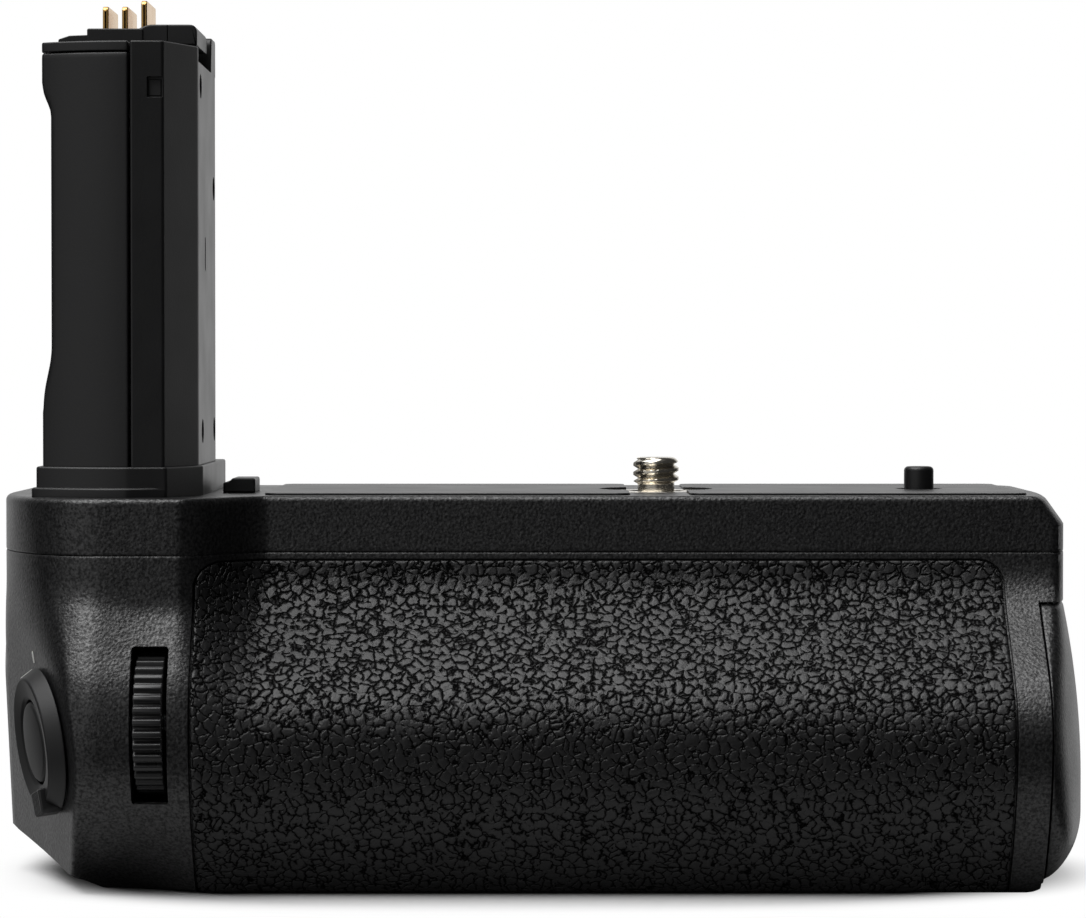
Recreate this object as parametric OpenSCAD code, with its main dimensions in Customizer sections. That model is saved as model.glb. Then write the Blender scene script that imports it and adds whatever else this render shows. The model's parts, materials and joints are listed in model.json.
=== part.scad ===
// Vertical battery grip for a camera.
// The origin is the mouth of the tripod socket, +Z is up, +X is the tray end and -Y is the finger side.

/* [Body] */
// Camera screw axis to the left end
body_left = 89; // [88:0.1:91]
// Seam of the tray cap to the right end above it
end_w = 5.2; // [4.5:0.1:7]
// Height of the seat that the camera stands on
seat_z = 52.2; // [51.6:0.1:54]
// Height of the seam between the two shells
split_z = 44.7; // [44.4:0.1:45.2]
// Shell wall
wall = 2.2; // [1.8:0.1:2.3]
// Finger side of the upper band, right of the hand
band_front = 24; // [23:0.1:26]
// Finger side of the upper band, at the hand end
hand_front = 36; // [35:0.1:38]
// Finger side of the grip at its fullest
bulge_front = 42; // [41.5:0.1:43]
// Height of the fullest part of the grip
bulge_z = 22.9; // [22:0.1:24]
// How far the finger side tucks in at the base
bottom_tuck = 11; // [8:0.1:11.5]
// How far the thumb side swells out below the upper band
rear_swell = 7; // [6:0.1:7.2]
// Back of the battery tray to the thumb side at its fullest
rear_room = 7.4; // [7.2:0.1:8.4]
// How far the thumb side tucks in at the base
rear_tuck = 3; // [2:0.1:3.4]
// Width of the slanted face that carries the shutter button
facet_w = 12.9; // [12.5:0.1:13.3]
// Angle of that face from the end of the body
facet_angle = 21; // [20:0.5:22]
// How far that face leans out towards its top
facet_lean = 7; // [5:0.5:8]
// Width of the rounding that the face is cut into
hand_corner = 16; // [15:0.5:16.5]
// Depth of that rounding
hand_corner_y = 34; // [32:0.5:35]
// Plan radius of the right end corners
end_corner = 5; // [3:0.5:6]
// Plan radius of the rear left corner
rear_corner = 8; // [6:0.5:9]
// Width of the slope under the left end
heel_w = 12.3; // [9:0.1:12.6]
// Height of that slope
heel_h = 8.5; // [7:0.1:9]
// Chamfer around the seat
seat_edge = 0.8; // [0.5:0.1:1]

/* [Rubber grips] */
// Depth of the rubber below the shell surface
skin_depth = 1; // [0.8:0.05:1.1]
// How far the rubber stands proud of the shell
skin_proud = 0.15; // [0.1:0.05:0.3]
// Left edge of the front rubber
skin_left = 61.3; // [60.5:0.1:61.6]
// Right edge of both rubbers to the seam of the tray cap
skin_end = 4.5; // [3.8:0.1:6]
// Corner radius of both rubbers
skin_corner = 3.2; // [2:0.1:4]

/* [Seat] */
// Major diameter of the camera screw thread
screw_d = 6.35; // [6.3:0.01:6.4]
// Pitch of the camera screw thread
screw_pitch = 1.27; // [1.2:0.01:1.3]
// How far the camera screw stands above the seat
screw_up = 4.7; // [4.4:0.1:5.2]
// Minor diameter of the tripod socket thread
socket_d = 5.1; // [5:0.05:5.3]
// Depth of the tripod socket
socket_depth = 5.6; // [5:0.1:5.8]
// Diameter of the locating pin
pin_d = 4.1; // [3.8:0.1:4.4]
// Height of the locating pin above the seat
pin_up = 3.4; // [3:0.1:4]
// Camera screw axis to the locating pin
pin_x = 36.5; // [34:0.5:39]

/* [Stalk] */
// Camera screw axis to the left side of the stalk
stalk_left = 82.05; // [81.8:0.05:82.4]
// Width of the stalk
stalk_w = 20.25; // [20.05:0.05:20.45]
// Top of the stalk above the seat
stalk_up = 60; // [56:0.5:62]
// Nose of the stalk
stalk_front = 30; // [29.5:0.1:30.5]
// Back of the stalk
stalk_back = 10; // [10:0.5:11]
// Height of the collar at the foot of the stalk
collar_up = 4; // [3.6:0.1:4.4]
// Pitch of the contact blades
blade_pitch = 2.6; // [2.5:0.1:2.7]

/* [Shutter button] */
// Diameter of the shutter button
button_d = 10.75; // [10.4:0.05:10.9]
// Travel of the shutter button
button_travel = 1; // [0.6:0.1:1]
// Diameter of the lock ring
lock_d = 18.2; // [17.6:0.1:18.6]
// Height of the shutter axis
shutter_z = 20.2; // [19.5:0.1:21]

/* [Dials] */
// Diameter of the front dial
dial_d = 18.6; // [18:0.1:19]
// Width of both dials
dial_w = 3.8; // [3.4:0.1:4]
// Ribs around a dial
dial_ribs = 36; // [30:1:40]
// Diameter of the rear dial
rear_dial_d = 16; // [15:0.1:16.4]

/* [Attachment wheel] */
// Diameter of the attachment wheel
wheel_d = 28.6; // [28:0.1:29]
// Gear module
gear_module = 1; // [0.98:0.01:1.02]
// Teeth of the pinion on the wheel
pinion_teeth = 12; // [12:1:12]
// Teeth of the gear on the screw
gear_teeth = 25; // [25:1:25]

/* [Battery tray] */
// Width of one battery
battery_w = 40; // [39:0.1:40.2]
// Length of one battery
battery_l = 56; // [55:0.1:56.2]
// Thickness of one battery
battery_t = 20.5; // [20:0.1:20.6]
// Running clearance around the tray
tray_gap = 0.3; // [0.25:0.05:0.4]

/* [Hidden] */
$fn = 64;
facet_slope = 1 / tan(facet_angle);
facet_rise = tan(facet_lean) / cos(facet_angle);
hand_end = -66;
hand_blend = 13.5;
floor_t = wall;
tray_x0 = -36.6;
tray_wall = 1.1;
end_wall = tray_x0 + 0.3 + 2 * (battery_w + 0.4) + 3 * tray_wall;
cap_x = end_wall + wall;
cap_top = 38.2;
cap_seam = 0.25;
cap_bulge = 2.6;
body_right = cap_x + end_w;
skin_top = split_z - 1;
skin_left_x = -skin_left;
skin_right = cap_x - skin_end;
// Tray and chamber, kept inside the grip
tray_z = 8;
tray_floor = 1.2;
tray_h = tray_floor + battery_t + 0.3;
tray_y0 = -31;
tray_y1 = tray_y0 + battery_l + 0.4 + 2 * tray_wall;
rear_bulge = tray_y1 + rear_room;
chamber_wall = 1.3;
chamber_end = tray_x0 - 2.1;
chamber_mouth = end_wall - 3.4;
main_x = chamber_end - 2.6;
chamber_z0 = tray_z - tray_gap - chamber_wall;
chamber_z1 = tray_z + tray_h + tray_gap + chamber_wall;
latch_z = tray_z + tray_h + 3.5;
latch_r = 3.3;
// Gear train behind the camera screw
gear_y = gear_module * (pinion_teeth + gear_teeth) / 2;
gear_room = 9.2;
rear_top = max(rear_bulge - rear_swell, gear_y + gear_room);
gear_z = split_z - 0.1;
gear_t = 3;
rim_z = split_z - 8.1;
rim_t = 6.6;
bracket_z = 33.2;
bracket_t = 1.5;
under_seat = seat_z - wall;
screw_shoulder = screw_d / 2 + 0.9;
// Stalk
stalk_x0 = -stalk_left;
stalk_x1 = -stalk_left + stalk_w;
stalk_split = stalk_x0 + 12;
stalk_z0 = seat_z + collar_up;
stalk_z1 = seat_z + stalk_up;
stalk_wall = 1.8;
blade_x = stalk_x0 + 7.25;
// Shutter
shutter_d = 8.1;
shutter_x = -body_left + shutter_d;
shutter_y = -bulge_front + (facet_w - shutter_d) * facet_slope;
facet_wall = 3.6;
// Dials
dial_x = -66.6;
dial_z = bulge_z;
dial_y = -bulge_front - 1.4 + dial_d / 2;
axle_d = 3;
rear_dial_x = -74;
rear_dial_z = 30;
rear_dial_y = rear_at(rear_dial_z) + 1.3 - rear_dial_d / 2;
// Thumb side controls
focus_x = -60;
focus_z = 27;
func_z = 13;
stick_x = -50;
stick_z = 20;
board_y = rear_bulge - 10.4;
board_t = 1.4;
stick_y = board_y + board_t + 2.6;

function mix(a, b, t) = a + (b - a) * t;
function unit(t) = max(0, min(1, t));
function ease(t) = unit(t) * unit(t) * (3 - 2 * unit(t));
// How far an edge of corner radius r falls back, at a distance d from the end
function corner(d, r) = d >= r ? 0 : r - sqrt(max(0, r * r - pow(r - max(d, 0), 2)));

// Finger side of the band
function band_at(x) = -mix(hand_front, band_front, ease((x - hand_end) / hand_blend));
// Share of the full swell at a height
function swell(z) = z <= bulge_z ? 1 : sin(90 * pow(unit((skin_top - z) / (skin_top - bulge_z)), 1.12));
function tuck(z) = pow(unit((bulge_z - z) / bulge_z), 2);
function hand(d) = corner(d, hand_corner) * hand_corner_y / hand_corner;
// Plane of the slanted face, and about where it meets the rounding
function facet(d, z) = -bulge_front + (facet_w - (z - shutter_z) * facet_rise - d) * facet_slope;
function fold(z) = max(4.5, facet_w + 0.2 - 0.0098 * pow(max(0, z - 12.6), 2));
// Finger side of the shells, d from the left end and b from the right end
function front_at(x, z, d, b) = corner(b, end_corner) + max(facet(d, z), hand(d)
    + mix(band_at(x), -bulge_front, swell(z)) + bottom_tuck * tuck(z) * ease((d - facet_w + 5) / 7));
function rear_at(z) = mix(rear_top, rear_bulge, sin(90 * unit((split_z - z) / (split_z - bulge_z))))
    - rear_tuck * tuck(z);

// Stations along X, closer together at the ends
left_steps = [0, 0.03, 0.1, 0.22, 0.4, 0.6, 0.8, 1, 1.2, 1.45, 1.7, 2];
mid_steps = concat([for (f = [0:0.2:1]) hand_end + f * hand_blend],
    [for (f = [0.25:0.25:1]) mix(hand_end + hand_blend, cap_x - 12, f)]);
right_steps = [for (f = [1.1, 0.7, 0.44, 0.24, 0.1, 0.024, 0]) f * end_corner];
function heel(z) = heel_w * unit(1 - z / heel_h);
function left_d(s, z) = s < 1 ? mix(heel(z), fold(z), s) : mix(fold(z), facet_w + 5.3, s - 1);
function stations(x0, x1, z) = concat([for (s = left_steps) x0 + left_d(s, z)], mid_steps,
    [for (s = right_steps) x1 - s]);
// One closed outline at a height, moved in by ex along X and ey along Y
function outline(z, ex, ey, right) = let (x0 = -body_left + ex, x1 = right - ex, xs = stations(x0, x1, z))
    concat([for (x = xs) [x, front_at(x, z, x - x0, x1 - x) + ey, z]],
        [for (i = [len(xs) - 1:-1:0]) let (x = xs[i])
            [x, rear_at(z) - corner(x - x0, rear_corner) - corner(x1 - x, end_corner) - ey, z]]);

// Skins a stack of outlines; the outlines run along the front and back along the rear
module loft(rings) {
    m = len(rings[0]);
    n = len(rings);
    pts = [for (r = rings) for (p = r) p];
    sides = [for (k = [0:n - 2]) for (i = [0:m - 1]) let (j = (i + 1) % m)
        each [[k * m + i, (k + 1) * m + i, (k + 1) * m + j], [k * m + i, (k + 1) * m + j, k * m + j]]];
    first = [for (i = [0:m / 2 - 2]) each [[i, i + 1, m - 2 - i], [i, m - 2 - i, m - 1 - i]]];
    top = (n - 1) * m;
    last = [for (f = first) [top + f[2], top + f[1], top + f[0]]];
    polyhedron(pts, concat(sides, first, last));
}

// A patch that follows one side of the shells, between two depths below its surface
module skin(x0, x1, z0, z1, finger_side, outer, inner) {
    xs = concat([x0], [for (s = mid_steps) if (s > x0 + 0.5 && s < x1 - 0.5) s], [x1]);
    zs = concat([z0], [for (z = [2.5, 5, 8.5, 12, 16, 19.5, bulge_z, 26, 29, 32, 35, 38, 40.5, 42.5])
        if (z > z0 + 0.4 && z < z1 - 0.4) z], [z1]);
    function y(x, z, e) = finger_side ? front_at(x, z, x + body_left, 99) + e : rear_at(z) - e;
    loft([for (z = zs) concat([for (x = xs) [x, finger_side ? y(x, z, outer) : y(x, z, inner), z]],
        [for (i = [len(xs) - 1:-1:0]) [xs[i], finger_side ? y(xs[i], z, inner) : y(xs[i], z, outer), z]])]);
}

// A rounded rectangle in XZ, run through along Y
module pane(x0, x1, z0, z1, r, y0, y1) {
    translate([0, y1, 0])
        rotate([90, 0, 0])
            linear_extrude(y1 - y0)
                rounded(x0, x1, z0, z1, r);
}

module rounded(x0, x1, y0, y1, r) {
    translate([x0 + r, y0])
        square([x1 - x0 - 2 * r, y1 - y0]);
    translate([x0, y0 + r])
        square([x1 - x0, y1 - y0 - 2 * r]);
    for (x = [x0 + r, x1 - r], y = [y0 + r, y1 - r])
        translate([x, y])
            circle(r);
}

module block(x0, x1, y0, y1, z0, z1) {
    translate([x0, y0, z0])
        cube([x1 - x0, y1 - y0, z1 - z0]);
}

module along_x(x0, x1, y, z, r) {
    translate([x0, y, z])
        rotate([0, 90, 0])
            cylinder(r = r, h = x1 - x0);
}

module along_y(y0, y1, x, z, r) {
    translate([x, y0, z])
        rotate([-90, 0, 0])
            cylinder(r = r, h = y1 - y0);
}

module along_z(z0, z1, x, y, r) {
    translate([x, y, z0])
        cylinder(r = r, h = z1 - z0);
}

// Frame of the shutter button: +Z out of the slanted face, +X down, +Y to the finger side
module at_shutter() {
    translate([shutter_x, shutter_y, shutter_z])
        rotate([0, 0, 180 + facet_angle])
            rotate([0, 90 + facet_lean, 0])
                children();
}

// Involute spur gear outline with a tooth centred on +X
module gear_outline(teeth) {
    rp = gear_module * teeth / 2;
    rb = rp * cos(25);
    tip = rp + 0.85 * gear_module;
    root = rp - 1.2 * gear_module;
    function inv(r) = r <= rb ? 0 : sqrt(pow(r / rb, 2) - 1) * 180 / PI - acos(rb / r);
    half = 90 / teeth - 0.11 / rp * 180 / PI + inv(rp);
    low = max(rb, root);
    rs = [for (i = [0:4]) mix(low, tip, i / 4)];
    polygon([for (t = [0:teeth - 1]) let (c = 360 * t / teeth) each concat(
        [root * [cos(c - half), sin(c - half)]],
        [for (r = rs) if (r > root) r * [cos(c - half + inv(r)), sin(c - half + inv(r))]],
        [for (i = [4:-1:0]) if (rs[i] > root)
            rs[i] * [cos(c + half - inv(rs[i])), sin(c + half - inv(rs[i]))]],
        [root * [cos(c + half), sin(c + half)]])]);
}

// Ribbed outline of a dial or knurled rim
module ribbed(r, ribs, depth) {
    step = 360 / ribs;
    polygon([for (i = [0:ribs - 1]) each [for (f = [[0, -depth], [0.2, -depth], [0.42, 0], [0.78, 0]])
        (r + f[1]) * [cos(step * (i + f[0])), sin(step * (i + f[0]))]]]);
}

module upper_shell() {
    slope = 3.9;
    function right(z) = body_right - max(0, z - seat_z + slope) * 0.5;
    color("#2a2a2c")
        difference() {
            union() {
                loft([outline(under_seat, wall, wall, right(under_seat)),
                    outline(split_z, wall, wall, body_right),
                    outline(split_z, 0.25, 0.25, body_right),
                    outline(split_z + 0.35, 0, 0, body_right),
                    outline(seat_z - slope, 0, 0, body_right),
                    outline(seat_z - seat_edge, 0, 0, right(seat_z - seat_edge)),
                    outline(seat_z, seat_edge, seat_edge, right(seat_z))]);
                for (p = case_posts)
                    along_z(p[2] + 0.2, under_seat + 0.5, p[0], p[1], 2.3);
                along_z(under_seat - 1.4, under_seat + 0.5, 0, gear_y, 3.4);
            }
            for (p = case_posts)
                along_z(p[2], p[2] + 8.6, p[0], p[1], 1.1);
            along_z(under_seat - 2, under_seat + 0.2, 0, gear_y, axle_d / 2 + 0.02);
            along_z(under_seat - 1, seat_z + 1, 0, 0, 7.6);
            along_z(under_seat - 1, seat_z + 1, pin_x, 0, pin_d / 2 + 0.4);
            block(stalk_x0 + 5, stalk_x1 - 5, -14, 4, under_seat - 1, seat_z + 1);
        }
}

// Case screw posts: X, Y and the height that the screw head is under
case_posts = [[-54, -16, floor_t], [-82, 12, 8.4], [-44, board_y - 3.6, floor_t],
    [cap_x + 0.6, -13, cap_top + wall], [cap_x + 0.6, 13, cap_top + wall]];

module lower_shell() {
    color("#2a2a2c")
        difference() {
            loft(concat(
                [for (l = [[0, 1], [0.9, 0.3], [2.2, 0]]) outline(l[0], l[1], l[1], body_right)],
                [for (z = [5, heel_h, 12, 16, 19.5, bulge_z, 26, 29, 32, 35, 38, 40.5, 42.5, skin_top])
                    outline(z, 0, 0, body_right)],
                [outline(split_z - 0.35, 0, 0, body_right),
                    outline(split_z, 0.25, 0.25, body_right),
                    outline(split_z, wall, wall, body_right)],
                [for (z = [skin_top - 1.2, cap_top + wall + 0.05])
                    outline(z, wall, wall + skin_depth, body_right)],
                [for (z = [cap_top + wall - 0.05, 35, 31, 26.5, bulge_z, 16, 10, 6, floor_t])
                    outline(z, wall, wall + skin_depth, cap_x)]));
            block(cap_x, body_right + 5, -60, 60, -1, cap_top);
            block(end_wall - 5, cap_x + 1, tray_y0 - tray_gap, tray_y1 + tray_gap,
                tray_z - tray_gap, tray_z + tray_h + tray_gap);
            block(end_wall - 1, cap_x + 1, -3.6, 3.6, latch_z - 1.75, latch_z + 1.75);
            along_x(end_wall - 1, cap_x + 1, 0, latch_z, 2.2);
            front_rubber_shape(0.12, 30);
            rear_rubber_shape(0.12, 30);
            pane(dial_x - dial_w / 2 - 0.5, dial_x + dial_w / 2 + 0.5, dial_z - 10.2, dial_z + 10.2, 1,
                -60, -30);
            at_shutter()
                translate([0, 0, -8])
                    cylinder(r = 7.3, h = 14);
            pane(rear_dial_x - dial_w / 2 - 0.5, rear_dial_x + dial_w / 2 + 0.5, rear_dial_z - 8.2,
                rear_dial_z + 8.2, 1, rear_top - 4, 60);
            along_y(board_y - 2.6, 60, focus_x, focus_z, 4.25);
            along_y(board_y - 2.6, 60, focus_x, func_z, 3.45);
            along_y(board_y - 2.6, 60, stick_x, stick_z, 5.2);
            block(-13.4, 13.4, rear_top - 8, 60, rim_z - 0.4, rim_z + rim_t + 0.4);
            along_z(-1, floor_t + 1, 0, 0, 5.6);
            for (p = case_posts) {
                along_z(-1, p[2] + 1, p[0], p[1], 1.15);
                along_z(-1, p[2] - 1.3, p[0], p[1], 2.1);
            }
        }
}

// Front and rear rubber outlines, grown by a gap, and their outer depth
module front_rubber_shape(gap, proud) {
    intersection() {
        skin(skin_left_x - 2, skin_right + 2, 0.2 - gap, skin_top + 0.3, true, -proud, skin_depth + gap / 2);
        pane(skin_left_x - gap, skin_right + gap, 0.3 - gap - 5, skin_top + gap, skin_corner, -90, 0);
    }
}

module rear_rubber_shape(gap, proud) {
    intersection() {
        skin(-40, skin_right + 2, 2.4 - gap, 35 + gap, false, -proud, skin_depth + gap / 2);
        pane(-36 - gap, skin_right + gap, 3 - gap, 34.5 + gap, skin_corner, 0, 90);
    }
}

module front_grip_rubber() {
    color("#1a1a1b")
        front_rubber_shape(0, skin_proud);
}

module rear_grip_rubber() {
    color("#1a1a1b")
        rear_rubber_shape(0, skin_proud);
}

// Rubber pads on the seat, left and right of the screw
module seat_pads() {
    color("#1c1c1d")
        difference() {
            translate([0, 0, seat_z])
                linear_extrude(0.3) {
                    rounded(stalk_x1 + 8.8, -3, -band_front + 3, rear_top - 4, 2);
                    rounded(3, body_right - 6, -band_front + 3, rear_top - 4, 2);
                }
            along_z(seat_z - 1, seat_z + 1, 0, 0, 7.9);
            along_z(seat_z - 1, seat_z + 1, pin_x, 0, pin_d / 2 + 1.2);
            block(-4, 4, -60, 60, seat_z - 1, seat_z + 1);
        }
}

// Stepped key beside the stalk that sets the camera's hand
module seat_key() {
    color("#232324")
        translate([stalk_x1 + 2.4, -5, seat_z])
            rotate([90, 0, 0])
                linear_extrude(9, center = true)
                    polygon([[0, 0], [0, 1.2], [0.5, 1.6], [0.9, 1.6], [1.3, 2], [4.1, 2],
                        [4.4, 1.7], [4.4, 0]]);
}

module locating_pin() {
    color("#2b2b2d")
        translate([pin_x, 0, 0])
            rotate_extrude() {
                translate([0, under_seat - 1.2])
                    square([pin_d / 2 + 1.6, 1.2]);
                translate([0, under_seat - 0.1])
                    square([pin_d / 2 + 0.4, wall + 0.1]);
                translate([0, seat_z - 0.1])
                    square([pin_d / 2, pin_up - 0.5]);
                translate([0, seat_z + pin_up - 0.7])
                    square([pin_d / 2 - 0.6, 0.7]);
                translate([pin_d / 2 - 0.6, seat_z + pin_up - 0.6])
                    circle(0.6);
            }
}

// Flanged bush that the camera screw turns in
module screw_bush() {
    color("#b9bbbd")
        difference() {
            union() {
                along_z(under_seat - 0.6, seat_z, 0, 0, 7.6);
                along_z(under_seat - 0.6, under_seat, 0, 0, 9);
            }
            along_z(under_seat - 1, seat_z + 1, 0, 0, screw_shoulder + 0.04);
        }
}

module tripod_socket() {
    color("#c4c6c8")
        difference() {
            union() {
                along_z(0, floor_t + 0.4, 0, 0, 5.5);
                along_z(floor_t + 0.02, socket_depth + 0.5, 0, 0, 7);
            }
            along_z(-1, socket_depth, 0, 0, socket_d / 2);
        }
}

module case_screws() {
    color("#3a3b3d")
        for (p = case_posts) {
            translate([p[0], p[1], p[2] - 2.2])
                cylinder(r1 = 1.9, r2 = 1.05, h = 0.9);
            along_z(p[2] - 1.4, p[2] + 8.2, p[0], p[1], 1);
        }
}

// Plan of the stalk: a round nose on the left, a flat strip and a slanted face on the right
module stalk_plan(e) {
    x0 = stalk_x0 + e;
    x1 = stalk_x1 - e;
    intersection() {
        translate([x0, -stalk_front + e])
            square([x1 - x0, stalk_front - e]);
        translate([stalk_split + 0.2, -8])
            circle(stalk_front - 8 - e, $fn = 96);
        polygon([[x0, -60], [stalk_x1 - 3.8 - e * 0.6, -60], [stalk_x1 - 3.8 - e * 0.6, -29.7 + e],
            [stalk_x1 - 0.5 - e, -22.6 + e * 0.5], [x1, -21], [x1, 60], [x0, 60]]);
    }
    rounded(x0, x1, -14, stalk_back - e, 2.4 - min(e, 2));
}

// Hollow on the left side of the stalk
module waist() {
    z0 = stalk_z0 + 7;
    z1 = stalk_z1 - 5.3;
    translate([stalk_x0, 40, 0])
        rotate([90, 0, 0])
            linear_extrude(80)
                polygon(concat([[-2, z0]], [for (i = [0:6]) [1.4 * ease(i / 6), z0 + 9 * i / 6]],
                    [for (i = [0:6]) [1.4 * (1 - ease(i / 6)), z1 - 4.5 + 4.5 * i / 6]], [[-2, z1]]));
}

stalk_holes = [[-16, 0.91], [5, 0.68], [-13.6, 0.08], [5.5, 0.08]];
function hole_z(f) = mix(stalk_z0, stalk_z1, f);

module stalk_collar() {
    color("#262628")
        difference() {
            union() {
                collar_step(seat_z, 1.2, 1.4);
                collar_step(seat_z + 1.2, collar_up - 1.2, 0.8);
            }
            block(stalk_x0 + 5, stalk_x1 - 5, -14, 4, seat_z - 1, seat_z + 9);
        }
}

module collar_step(z, h, e) {
    translate([0, 0, z])
        linear_extrude(h)
            intersection() {
                union() {
                    stalk_plan(-e);
                    translate([stalk_x0 - e + 1, 0])
                        square([stalk_w + e + 0.6 - 1, 18.4]);
                }
                translate([stalk_x0 - e, -60])
                    square([stalk_w + e + 0.6, 120]);
            }
}

// Right half of the stalk, with the wall that carries the screws
module stalk_frame() {
    color("#2f2f31")
        difference() {
            translate([0, 0, stalk_z0])
                linear_extrude(stalk_up - collar_up - 1.6)
                    difference() {
                        stalk_plan(0);
                        stalk_plan(stalk_wall);
                        translate([stalk_split - 60 + 0.12, -60])
                            square([60, 120]);
                    }
            for (h = stalk_holes) {
                along_x(stalk_x1 - 1, stalk_x1 + 2, h[0], hole_z(h[1]), 1.65);
                along_x(stalk_x1 - 4, stalk_x1 + 2, h[0], hole_z(h[1]), 1.05);
            }
            translate([0, 0, hole_z(0.52)])
                block(stalk_x1 - 0.9, stalk_x1 + 1, -9.6, -8.4, -2.3, 2.3);
            block(stalk_split + 2.35, stalk_split + 4.4, -40, -20, stalk_z1 - 7.4, stalk_z1 - 4.7);
        }
}

// Left half of the stalk, with bosses for the screws
module stalk_cover() {
    color("#29292b")
        difference() {
            union() {
                translate([0, 0, stalk_z0])
                    linear_extrude(stalk_up - collar_up - 1.6)
                        difference() {
                            stalk_plan(0);
                            translate([stalk_wall * 0.6, 0])
                                stalk_plan(stalk_wall);
                            translate([stalk_split - 0.12, -60])
                                square([60, 120]);
                        }
                for (h = stalk_holes)
                    along_x(stalk_x0 + stalk_wall, stalk_x1 - stalk_wall - 0.1, h[0] + (h[0] < 0 ? 1.4 : 0),
                        hole_z(h[1]), 2);
            }
            waist();
            for (h = stalk_holes)
                along_x(stalk_x1 - 12, stalk_x1 + 2, h[0], hole_z(h[1]), 1.02);
        }
}

module stalk_cap() {
    color("#2d2d2f") {
        difference() {
            translate([0, 0, stalk_z1 - 1.6])
                linear_extrude(1.6)
                    stalk_plan(0);
            block(stalk_split - 4, stalk_split + 6, -9, -5, stalk_z1 - 3, stalk_z1 + 1);
        }
        difference() {
            block(stalk_x0 + 2.4, stalk_x1 - 0.4, -15, 3, stalk_z1, stalk_z1 + 0.7);
            block(stalk_split - 4, stalk_split + 6, -9, -5, stalk_z1 - 3, stalk_z1 + 1);
        }
        block(stalk_x1 - 2.2, stalk_x1, 2, stalk_back - 1, stalk_z1 - 0.2, stalk_z1 + 3);
    }
}

// Stepped block that guides the contact blades
module contact_block() {
    z0 = stalk_z1 + 0.7;
    color("#2a2a2c")
        difference() {
            union() {
                block(stalk_x0 + 4.8, stalk_split - 0.3, -13.5, 1, z0, z0 + 2.15);
                translate([0, 1.5, 0])
                    rotate([90, 0, 0])
                        linear_extrude(13.5)
                            rounded(stalk_split - 0.3, stalk_x1 - 0.6, z0, z0 + 2.7, 1);
                block(stalk_split - 0.3, stalk_x1 - 0.6, -12, 1.5, z0, z0 + 1.5);
            }
            for (i = [0:2])
                block(blade_x + i * blade_pitch - 0.5, blade_x + i * blade_pitch + 0.5, -14.5, -1.4, z0 + 0.8,
                    z0 + 9);
        }
}

module contact_blades() {
    z0 = stalk_z1 + 1.5;
    color("#c9a04a")
        for (i = [0:2])
            translate([blade_x + i * blade_pitch - 0.4, 0, z0])
                rotate([90, 0, 90])
                    linear_extrude(0.8)
                        difference() {
                            blade_outline(i == 2 ? 5.2 : 4.4);
                            translate([-13.6, 1])
                                square([1.2, i == 2 ? 3 : 2.2]);
                        }
}

module blade_outline(h) {
    polygon([[-14, 0], [-1.6, 0], [-1.6, h - 0.4], [-2, h], [-13, h], [-13.7, h - 0.3], [-14, h - 1]]);
}

module stalk_screws() {
    color("#48494b")
        for (h = stalk_holes) {
            along_x(stalk_x1 - 0.95, stalk_x1 - 0.15, h[0], hole_z(h[1]), 1.55);
            along_x(stalk_x1 - 9, stalk_x1 - 0.9, h[0], hole_z(h[1]), 1);
        }
}

// Flat cable from the contacts down to the main board
module stalk_ribbon() {
    x = stalk_split + 1;
    color("#8a5a2a") {
        translate([0, -2, 0])
            rotate([90, 0, 0])
                linear_extrude(8)
                    polygon([[x, split_z + 1.6], [x, stalk_z1 - 1.7], [x + 0.4, stalk_z1 - 1.7],
                        [x + 0.4, split_z + 2], [main_x + 0.4, split_z + 2], [main_x + 0.4, 40],
                        [main_x, 38], [main_x, split_z + 1.6]]);
    }
}

module main_board() {
    color("#1f4a33") {
        block(main_x - 1.5, main_x, -22, board_y - 7.1, 6, 38);
        block(main_x - 3.3, main_x - 1.5, -12, -2, 18, 28);
        block(main_x - 2.7, main_x - 1.5, 4, board_y - 12.6, 12, 18);
        block(main_x - 2.7, main_x - 1.5, -22, -16, 26, 34);
    }
}

// Sleeve that the tray runs in, closed at the inner end
module battery_chamber() {
    color("#38393b")
        difference() {
            union() {
                block(chamber_end, chamber_mouth, tray_y0 - tray_gap - chamber_wall,
                    tray_y1 + tray_gap + chamber_wall, chamber_z0, chamber_z1);
                for (y = [-20, 12], z = [12, 26])
                    along_x(main_x, chamber_end + 0.5, y, z, 2);
                for (y = [-24, 20], x = [-30, 30])
                    along_z(floor_t, chamber_z0 + 0.2, x, y, 2.2);
            }
            block(chamber_end + chamber_wall, chamber_mouth + 1, tray_y0 - tray_gap, tray_y1 + tray_gap,
                tray_z - tray_gap, tray_z + tray_h + tray_gap);
        }
}

module chamber_terminals() {
    color("#c9a04a")
        for (y = [-18, -8, 4, 14])
            block(chamber_end + chamber_wall, chamber_end + chamber_wall + 0.25, y - 2, y + 2, tray_z + 4,
                tray_z + 14);
}

// Plate under the gears, hung from the upper shell on two posts
module gear_bracket() {
    color("#8d8f92")
        difference() {
            union() {
                translate([0, 0, bracket_z])
                    linear_extrude(bracket_t)
                        rounded(-18, 18, -10, gear_y + 5, 3);
                for (x = [-15.5, 15.5])
                    along_z(bracket_z, under_seat, x, -6, 1.9);
            }
            along_z(bracket_z - 1, bracket_z + 5, 0, 0, 2.55);
            along_z(bracket_z - 1, bracket_z + 5, 0, gear_y, axle_d / 2 + 0.02);
        }
}

module wheel_axle() {
    color("#a8aaad")
        along_z(bracket_z, under_seat, 0, gear_y, axle_d / 2);
}

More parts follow.
